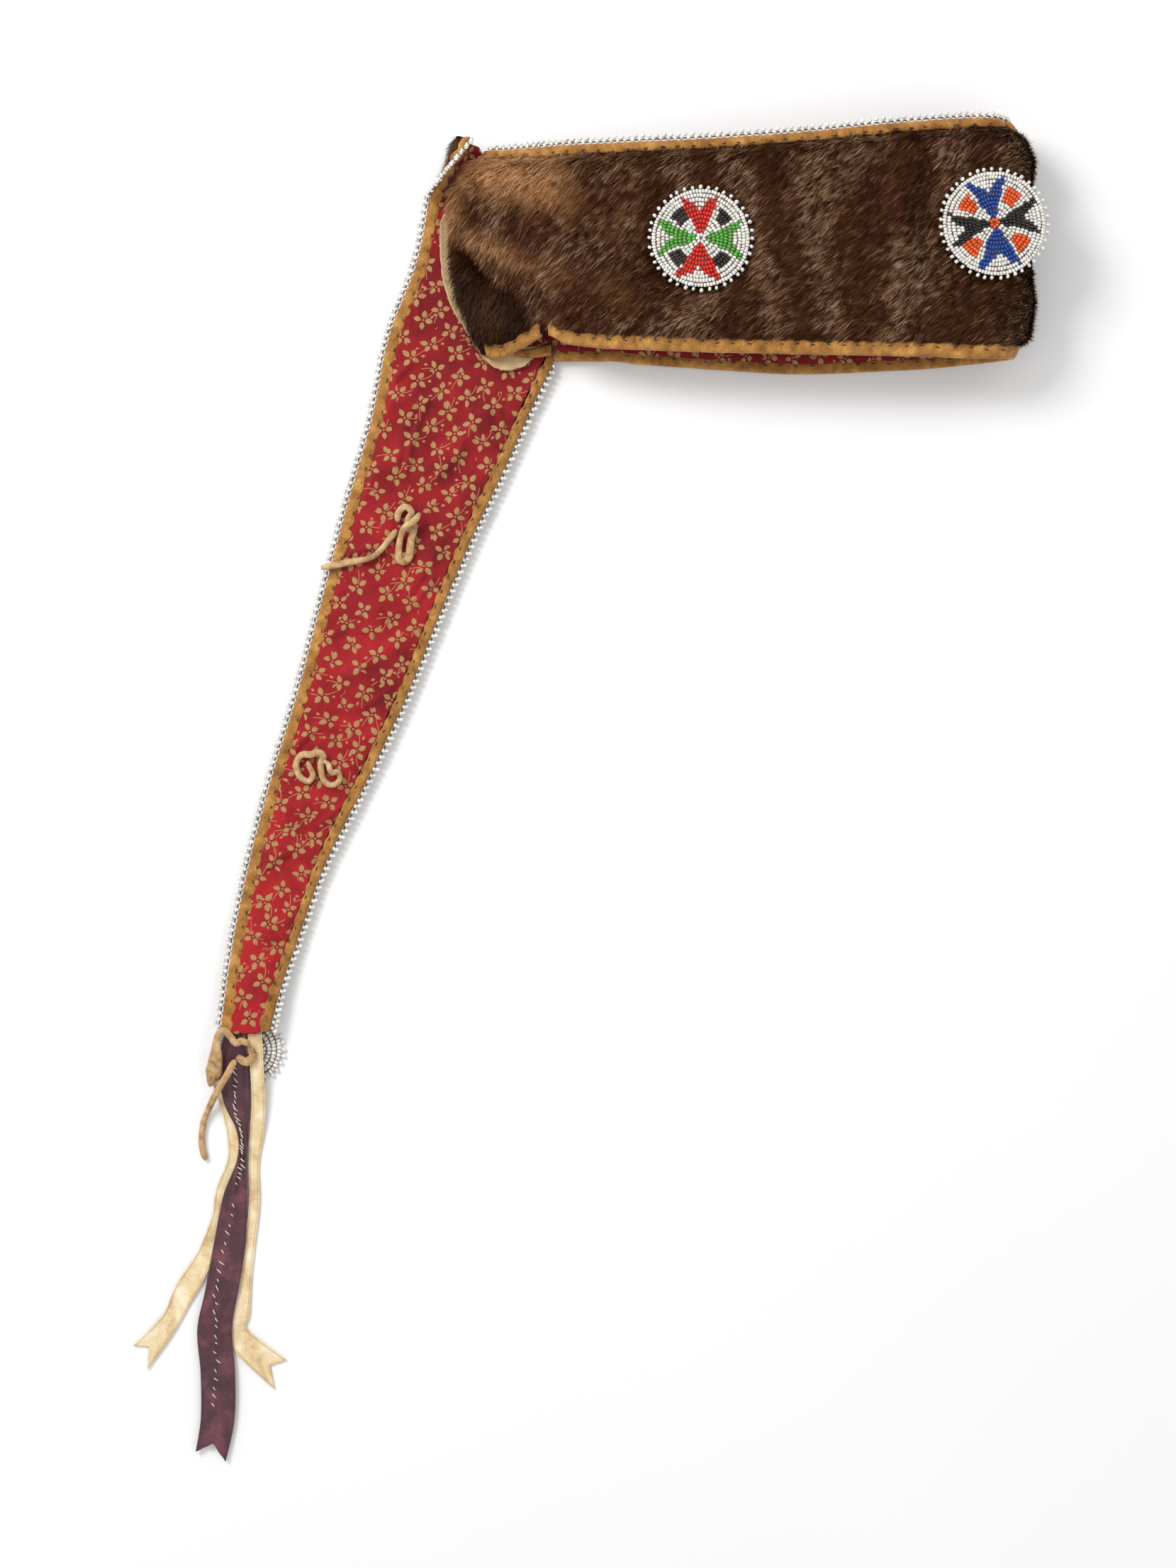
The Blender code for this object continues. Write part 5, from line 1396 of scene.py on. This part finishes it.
def band_edges():
    """The ochre tapes, their stitches and the beaded edge of the band."""
    def mouth(station, inward, depth):
        return band_point(band_row(station), 0, inward, depth)

    def beaded(station, inward, depth):
        return band_point(band_row(station), 1, inward, depth)

    full = np.concatenate([np.linspace(0, 1, 60, endpoint=False), np.linspace(1, 2, 40, endpoint=False),
                           np.linspace(2, 3, 110)])
    long, short = full[full < 2.83], np.linspace(2.845, 2.985, 24)
    inner = [min(BINDING_WIDTH, mouth_shown(station)) for station in long]
    for name, node, place, stations, width, shown in (
            ("mouth_tape", "band_binding_bottom", mouth, long, BINDING_WIDTH, inner),
            ("mouth_tape_end", "band_binding_end", mouth, short, BINDING_WIDTH, None),
            ("beaded_tape", "band_binding_top", beaded, full, NARROW_BINDING, None)):
        for piece in bound_edge(name, edge_frames(place, stations), width, OCHRE_TAPE, len(name), shown):
            finish_piece(piece, node, slot="binding")
    for piece in edge_beadwork("top_edge_beads", edge_frames(beaded, full), 21):
        finish_piece(piece, "edge_beads_top", slot="beads_white")


def root_tape():
    """The mouth's tape where it runs on over the trailer's calico, with its whipped seam."""
    start, stop = Vector((-0.955, -0.535)) * BAND_WIDTH, Vector((-1.175, -0.545)) * BAND_WIDTH
    us, vs = np.linspace(0, 1, 44), np.linspace(0, 1, 9)
    top = np.empty((len(us), len(vs), 3))
    bottom = top.copy()
    for i, u in enumerate(us):
        middle = start.lerp(stop, u)
        wide = BINDING_WIDTH * (1 - 0.45 * u)
        puff = 0.6 + 0.4 * abs(math.sin(math.pi * u * 5))
        for j, v in enumerate(vs):
            y = middle.y + (v - 0.5) * wide - 0.0012 * math.sin(math.pi * u)
            crown = (1 - (2 * v - 1) ** 4) * puff
            top[i, j] = (middle.x, y, MARGIN_TOP + GAP + TAPE * crown + 0.0001)
            bottom[i, j] = (middle.x, y, MARGIN_TOP + GAP)
    finish_piece(closed_sheet("root_tape", top, bottom, OCHRE_TAPE), "band_binding_root", slot="binding")
    count = 9
    steps = np.linspace(-0.5, 0.5, count)
    places = np.stack([np.full(count, start.x + 0.0012), start.y + steps * BINDING_WIDTH,
                       np.full(count, MARGIN_TOP + GAP + TAPE)], 1)
    seam = marks("whipped_seam", STITCHES, THREAD, places, np.tile([0.95, 0.3, 0.0], (count, 1)),
                 np.tile([0.0, 0.0, 1.0], (count, 1)), (0.0005, 0.0005, 0.0018))
    finish_piece(seam, slot="binding")


def bare_margin():
    """The bare hide left of the fur, a curling edge of cream suede over the calico."""
    rng = np.random.default_rng(31)
    rows, columns = 150, 12
    ragged = np.convolve(rng.normal(0, 1, rows + 8), np.ones(5) / 5, "same")[:rows] * 0.00035
    top = np.empty((rows, columns, 3))
    bottom = top.copy()
    for i in range(rows):
        row = Margin(*(blend(MARGIN, i / (rows - 1) * (len(MARGIN) - 1)) * BAND_WIDTH))
        outer, inner = Vector((row.outer_x, row.outer_y)), Vector((row.inner_x, row.inner_y))
        outer = outer + (inner - outer).normalized() * ragged[i]
        for j in range(columns):
            v = j / (columns - 1)
            point = outer.lerp(inner, v)
            lip = 0.0007 * math.exp(-(v / 0.12) ** 2)
            dip = 0.0005 * math.sin(math.pi * v)
            top[i, j] = (point.x, point.y, MARGIN_TOP + lip - dip)
            bottom[i, j] = (point.x, point.y, MARGIN_TOP - HIDE + lip * 0.6)
    margin = closed_sheet("bare_margin", top, bottom, CREAM_HIDE)
    finish_piece(margin, "hide_margin", slot="hide")


# Trailer

def frayed(down, across, point):
    """The cloth's cut end, frayed by up to a millimetre."""
    share = ease((down - 0.985) / 0.015)
    way = Vector((math.cos(TRAILER_BEARING), math.sin(TRAILER_BEARING), 0))
    return point + way * share * 0.0005 * (1 + math.sin(61 * across) * math.sin(23 * across + 1))


def trailer_shell():
    downs = np.linspace(0, 1, 150)
    edge = NARROW_BINDING + 2 * GAP
    top, bottom, cover = [], [], []
    for down in downs:
        row = Row(*blend(ROWS, down * (len(ROWS) - 1)))
        span = (row.left_out - row.right_out) * TRAILER_WIDTH
        shares = shares_across(span, edge, edge, 34)
        ups, lows, covers = [], [], []
        for across in shares:
            rise = ramp(min(across, 1 - across) * span, edge)
            ups.append(trailer_point(down, across, 0, HIDE + rise * (FUR_CRUSHED - 0.0012)))
            lows.append(trailer_point(down, across, 0, 0))
            covers.append(ease(rise * 2))
        top.append(ups)
        bottom.append(lows)
        cover.append(covers)
    top, bottom, cover = np.array(top), np.array(bottom), np.array(cover)
    finish_piece(closed_sheet("trailer_pelt", top, bottom, PELT), "trailer_fur", slot="fur")
    down_way = unit(np.gradient(top, axis=0))
    across_way = unit(np.gradient(top, axis=1))
    normal = unit(np.cross(down_way, across_way))
    outward = unit(top - bottom)
    normal = normal * np.sign((normal * outward).sum(-1, keepdims=True))
    open_side = np.clip((normal[..., 2] + 0.45) / 0.3, 0, 1)
    flow = unit(down_way * 0.9 - across_way * 0.35)
    curled = downs < 0.26
    # An even golden tone, painted shade and painted glint for the trailer's hairs.
    looks = np.broadcast_to(np.array([0.25, 0.15, 0.50]), top.shape)
    corner = top[curled], flow[curled], (cover * open_side)[curled], looks[curled]
    hairs("corner_under_hair", *corner, UNDER_HAIR, Density=2.4e6, Length=0.0045, Width=0.00034, Lift=0.45,
          Spread=0.40, Clump=0.9, Seed=11)
    hairs("corner_guard_hair", *corner, MID_HAIR, Density=2.2e6, Length=0.0062, Width=0.00026, Lift=0.38,
          Spread=0.30, Clump=0.8, Seed=12)
    hairs("trailer_lower_hair", top, unit(down_way), cover * (1 - open_side), looks, UNDER_HAIR,
          Density=0.6e6,
          Length=0.0050, Width=0.00036, Lift=0.08, Spread=0.2, Clump=0.3, Seed=13)


def trailer_calico():
    """The printed lining with its folds and creases, in the cloth's own flat coordinates."""
    downs = np.linspace(0, 1, 300)
    edge = TAPE_SHOWN - 0.0010
    shares = np.concatenate([np.linspace(0, 0.04, 4, endpoint=False), np.linspace(0.04, 1, 84)])
    top, bottom, flat = [], [], []
    for down in downs:
        row = Row(*blend(ROWS, down * (len(ROWS) - 1)))
        span = (row.left_out - row.right_out) * TRAILER_WIDTH
        ups, lows, flats = [], [], []
        for share in shares:
            across = (edge + (span - 2 * edge) * share) / span
            out = row.left_out * TRAILER_WIDTH - across * span
            slant = max(0.0, (across - MITRE_BEND) / (1 - MITRE_BEND))
            along = (row.left_along + (row.right_along - row.left_along) * slant) * TRAILER_RUN
            fade = ease(min(share, 1 - share) * span / 0.004)
            ups.append(frayed(down, across, trailer_point(down, across, 0, -GAP - LINING * 0.9, folds=fade)))
            lows.append(frayed(down, across, trailer_point(down, across, 0, -GAP, folds=fade * 0.9)))
            flats.append((out, along))
        top.append(ups)
        bottom.append(lows)
        flat.append(flats)
    top, bottom, flat = np.array(top), np.array(bottom), np.array(flat)
    lining = closed_sheet("trailer_calico", top, bottom, CALICO, flat)
    finish_piece(lining, "trailer_lining", slot="calico")


def trailer_edges():
    def left(station, inward, depth):
        return trailer_point(station, 0, inward, depth)

    def right(station, inward, depth):
        return trailer_point(station, 1, inward, depth)

    stations = np.linspace(0, 1, 130)
    for side, place, seed in (("left", left, 41), ("right", right, 42)):
        frames = edge_frames(place, stations)
        shown = np.full(len(stations), TAPE_SHOWN)
        for piece in bound_edge(f"trailer_tape_{side}", frames, NARROW_BINDING, OCHRE_TAPE, seed, shown):
            finish_piece(piece, f"trailer_binding_{side}", slot="binding")
        for piece in edge_beadwork(f"trailer_beads_{side}", frames, seed + 10):
            finish_piece(piece, f"edge_beads_{side}", slot="beads_white")


# Rosettes

Arm = namedtuple("Arm", "middle half ink")


def rosette_ink(arms, patches, patch_ink, share, angle):
    """The colour of a bead at a share of the rosette's radius and an angle in degrees."""
    for arm in arms:
        off = abs((angle - arm.middle + 180) % 360 - 180)
        notch = max(0.0, (share - 0.54) / 0.34) * (arm.half - 2)
        if off < arm.half and 0.10 < share < 0.87 and (share < 0.54 or off >= notch):
            return arm.ink
    for middle in patches:
        off = abs((angle - middle + 180) % 360 - 180)
        if off < 11 + 3 * share and 0.42 < share < 0.71:
            return patch_ink
    return WHITE


def rosette(name, node, centre, radius, tilt, squash, ink_of, hub, picots, slot, bead=SEED_BEAD):
    """A disc of seed beads in rings on a hide backing, with a rim of picots."""
    rng = np.random.default_rng(int(radius * 1e6))
    thick = ROSETTE_THICK

    def surface(r):
        heights = [thick + ROSETTE_DOME, thick + ROSETTE_DOME * 0.6, thick, thick * 0.72]
        return np.interp(r, [0.0, radius * 0.55, radius - thick * 0.5, radius], heights)

    def put_down(points):
        points = np.asarray(points, float) * (1, 1, squash)
        x, z = points[:, 0].copy(), points[:, 2].copy()
        points[:, 0] = x * math.cos(tilt) + z * math.sin(tilt)
        points[:, 2] = z * math.cos(tilt) - x * math.sin(tilt)
        return points + np.asarray(centre)

    places, aims, tints, faces = [], [], [], []
    rings = round((radius - 0.0042) / (RING_PITCH * bead / SEED_BEAD)) + 1
    for ring in range(rings):
        r = 0.0017 + ring * (radius - 0.0042) / (rings - 1)
        count = max(6, round(2 * math.pi * r / (BEAD_PITCH * bead / SEED_BEAD)))
        first = rng.uniform(0, 2 * math.pi)
        for k in range(count):
            a = first + 2 * math.pi * k / count + rng.normal(0, 0.02 / (ring + 1))
            wobble = r + rng.normal(0, 0.00009) + 0.00018 * math.sin(3 * a + ring)
            places.append((wobble * math.cos(a), wobble * math.sin(a), surface(wobble) - bead * 0.46
                           + rng.normal(0, 0.00008)))
            aims.append((-math.sin(a), math.cos(a), rng.normal(0, 0.12)))
            faces.append((math.cos(a), math.sin(a), 0.0))
            ink = hub if ring == 0 else ink_of(wobble / radius, math.degrees(a))
            tints.append(np.array(ink) * rng.uniform(0.85, 1.08))
    for k in range(picots):
        a = 2 * math.pi * (k + rng.uniform(-0.12, 0.12)) / picots
        out = radius - 0.0004 + rng.normal(0, 0.00012)
        places.append((out * math.cos(a), out * math.sin(a), thick * 0.55))
        aims.append((-math.sin(a) + 0.3 * math.cos(a), math.cos(a) + 0.3 * math.sin(a), rng.normal(0, 0.2)))
        faces.append((math.cos(a), math.sin(a), 0.0))
        tints.append(np.array(WHITE) * rng.uniform(0.90, 1.08))
    sizes = np.stack([rng.uniform(0.92, 1.08, len(places)) * bead] * 3, 1)
    beads = marks(name + "_beads", BEADWORK, BEAD, put_down(places), np.array(aims), np.array(faces), sizes,
                  np.array(tints))
    finish_piece(beads, node, slot=slot)
    profile = [(0.0001, thick - 0.0004), (radius * 0.55, thick - 0.0006), (radius - 0.0026, thick * 0.50),
               (radius - 0.0021, thick * 0.30), (radius - 0.0026, 0.0003), (0.0001, 0.0002)]
    steps = 72
    turns = np.linspace(0, 2 * math.pi, steps, endpoint=False)
    rings = np.array([[(r * math.cos(t), r * math.sin(t), z) for r, z in profile] for t in turns])
    index = np.arange(steps * len(profile)).reshape(steps, len(profile))
    after = np.roll(index, -1, axis=0)
    quads = np.stack([index[:, :-1], after[:, :-1], after[:, 1:], index[:, 1:]], -1).reshape(-1, 4)
    faces = quads.tolist() + [index[:, 0].tolist(), index[:, -1].tolist()]
    finish_piece(mesh_object(name + "_backing", put_down(rings.reshape(-1, 3)), faces, BACKING), slot=slot)


def rosettes():
    bed = FLOOR_TO_HIDE + RING_CLEAR * 1.03 + ROSETTE_BED + GAP
    first = [Arm(92, 27, RED), Arm(266.5, 30.5, RED), Arm(179, 24, GREEN), Arm(-1, 27, GREEN)]
    second = [Arm(102.5, 25.5, BLUE), Arm(278, 28, BLUE), Arm(191, 22, BLACK), Arm(11, 23, BLACK)]
    rosette("red_green_rosette", "rosette_left", (*ROSETTE_LEFT_AT, bed + 0.0003), ROSETTE_LEFT_RADIUS, 0.0,
            1.0,
            lambda share, angle: rosette_ink(first, (135, 42, 221, -47), BLACK, share, angle), WHITE, 40,
            "beads_coloured")
    rosette("blue_black_rosette", "rosette_right", (*ROSETTE_RIGHT_AT, bed), ROSETTE_RIGHT_RADIUS,
            ROSETTE_RIGHT_TILT, 1.0,
            lambda share, angle: rosette_ink(second, (58, 147, 229, -36), ORANGE, share, angle), ORANGE, 43,
            "beads_coloured")
    tip = trailer_plan(TRAILER_RUN, 0)
    rosette("white_rosette", "rosette_tail",
            (tip.x + ROSETTE_TAIL_RADIUS * 0.07, tip.y - ROSETTE_TAIL_RADIUS * 0.38, 0.0),
            ROSETTE_TAIL_RADIUS, 0.0, 0.8, lambda share, angle: WHITE, WHITE, 30, "beads_white", 0.0026)


# Ties and ribbons

def tie_points(route, origin, on_calico, spacing=0.0012):
    points = smooth_route([Vector((x, y, z)) / 1000 for x, y, z in route], spacing)
    points = [Vector((p[0] + origin[0], p[1] + origin[1], p[2])) for p in points]
    if on_calico:
        heights = np.array([calico_height(p) for p in points])
        points = [p + Vector((0, 0, h + GAP + THONG / 2)) for p, h in zip(points, heights)]
    return np.array(points)


def route_widths(count, *stops):
    """Widths along a route, smooth between (share, factor) stops."""
    shares = np.linspace(0, 1, count)
    return np.interp(shares, [s for s, _ in stops], [f for _, f in stops])


def ties():
    for name, node, origin, route, on_calico, stops in (
            ("upper_tie", "thong_upper", THONG_UPPER_AT, THONG_UPPER, True,
             ((0, 1.0), (0.5, 1.15), (1, 0.9))),
            ("middle_tie", "thong_middle", THONG_MIDDLE_AT, THONG_MIDDLE, True,
             ((0, 0.9), (0.5, 1.0), (1, 0.8))),
            ("end_tie", "thong_end", THONG_END_AT, THONG_END, False,
             ((0, 1.0), (0.5, 1.1), (0.66, 2.0), (0.85, 2.3), (0.95, 1.2), (1, 0.5))),
            ("end_tie_knot", "thong_end_knot", THONG_END_AT, THONG_END_KNOT, False,
             ((0, 0.9), (0.5, 1.3), (1, 1.0)))):
        points = tie_points(route, origin, on_calico)
        widths = route_widths(len(points), *stops)
        tie = tube_mesh(name, points, THONG * 1.05, THONG * 0.80, BUCKSKIN, len(name), 0.07, widths)
        finish_piece(tie, node, slot="buckskin")
    for name, node, origin, route, on_calico in (
            ("upper_tie_tail", "thong_upper_tail", THONG_UPPER_AT, THONG_UPPER_TAIL, True),
            ("end_tie_tail", "thong_end_tail", THONG_END_AT, THONG_END_TAIL, False)):
        points = tie_points(route, origin, on_calico)
        tie = tube_mesh(name, points, THONG, THONG * 0.9, BUCKSKIN, len(name), 0.06)
        finish_piece(tie, node, slot="buckskin")


def ribbon(name, node, table, material, slot, pleats):
    """A strip of ribbon with a notched end, ripples and, where it is gathered, pleats along it."""
    tip = trailer_plan(TRAILER_RUN, 0)
    rows, columns = 170, 25
    end = table[-1] - table[-2]
    reach = math.hypot(end[0] + end[2], end[1] + end[3])
    top = np.empty((rows, columns, 3))
    for i in range(rows):
        u = i / (rows - 1)
        row = Strip(*blend(table, u * (len(table) - 1)))
        ripple = 0.00035 * math.sin(u * 31 + len(name)) * ease(min(u, 1 - u) * 12)
        for j in range(columns):
            v = j / (columns - 1)
            notch = -NOTCH * (1 - abs(2 * v - 1)) * ease(u * 6 - 5)
            x = row.left_x + (row.right_x - row.left_x) * v + notch * (end[0] + end[2]) / reach
            y = row.left_y + (row.right_y - row.left_y) * v + notch * (end[1] + end[3]) / reach
            fold = (pleats * abs(math.sin(math.pi * (3 * v + 0.8 * math.sin(u * 9))))
                    * math.sin(math.pi * v) ** 0.5)
            cup = 0.0003 * (2 * v - 1) ** 2
            top[i, j] = (tip.x + x * RIBBON_RUN, tip.y + y * RIBBON_RUN,
                         row.height * 0.001 + RIBBON + max(-0.0002, ripple) + fold + cup)
    bottom = top - (0, 0, 0.00045)
    widths = np.linalg.norm(top[:, -1] - top[:, 0], axis=1)
    run = np.concatenate([[0.0], np.cumsum(np.linalg.norm(np.diff(top[:, columns // 2], axis=0), axis=1))])
    shares = np.linspace(0, 1, columns)
    flat = np.stack([shares[None, :] * widths[:, None], np.broadcast_to(run[:, None], (rows, columns))], -1)
    strip = closed_sheet(name, top, bottom, material, flat)
    edge = (np.minimum(shares, 1 - shares)[None, :] * widths[:, None]).ravel()
    give(strip, edge=np.concatenate([edge, edge]))
    finish_piece(strip, node, slot=slot)
    return top


def ribbons():
    purple = ribbon("purple_ribbon", "ribbon_purple", PURPLE, SILK_PURPLE, "silk_purple", 0.0013)
    ribbon("cream_ribbon_left", "ribbon_cream_left", CREAM_LEFT, SILK_CREAM, "silk_cream", 0.0)
    ribbon("cream_ribbon_right", "ribbon_cream_right", CREAM_RIGHT, SILK_CREAM, "silk_cream", 0.0)
    rng = np.random.default_rng(61)
    spots, aims = [], []
    for row in list(range(16, 74, 2)) + list(range(80, 150, 3)):
        column = int(np.clip(11 + 3 * math.sin(row / 9), 2, 22))
        spots.append(purple[row, column] + (rng.normal(0, 0.0005), rng.normal(0, 0.0005), 0.0004))
        aims.append((rng.uniform(0.3, 0.8), rng.uniform(-0.9, -0.4), 0.0))
    loops = marks("ribbon_whipping", STITCHES, WHITE_THREAD, spots, unit(np.array(aims)),
                  np.tile([0.0, 0.0, 1.0], (len(spots), 1)),
                  np.stack([np.full(len(spots), 0.00065), np.full(len(spots), 0.00065),
                            rng.uniform(0.0016, 0.0040, len(spots))], 1))
    finish_piece(loops, slot="silk_purple")


band_hairs(*band_pelt())
band_inside()
band_edges()
root_tape()
bare_margin()
trailer_shell()
trailer_calico()
trailer_edges()
rosettes()
ties()
ribbons()
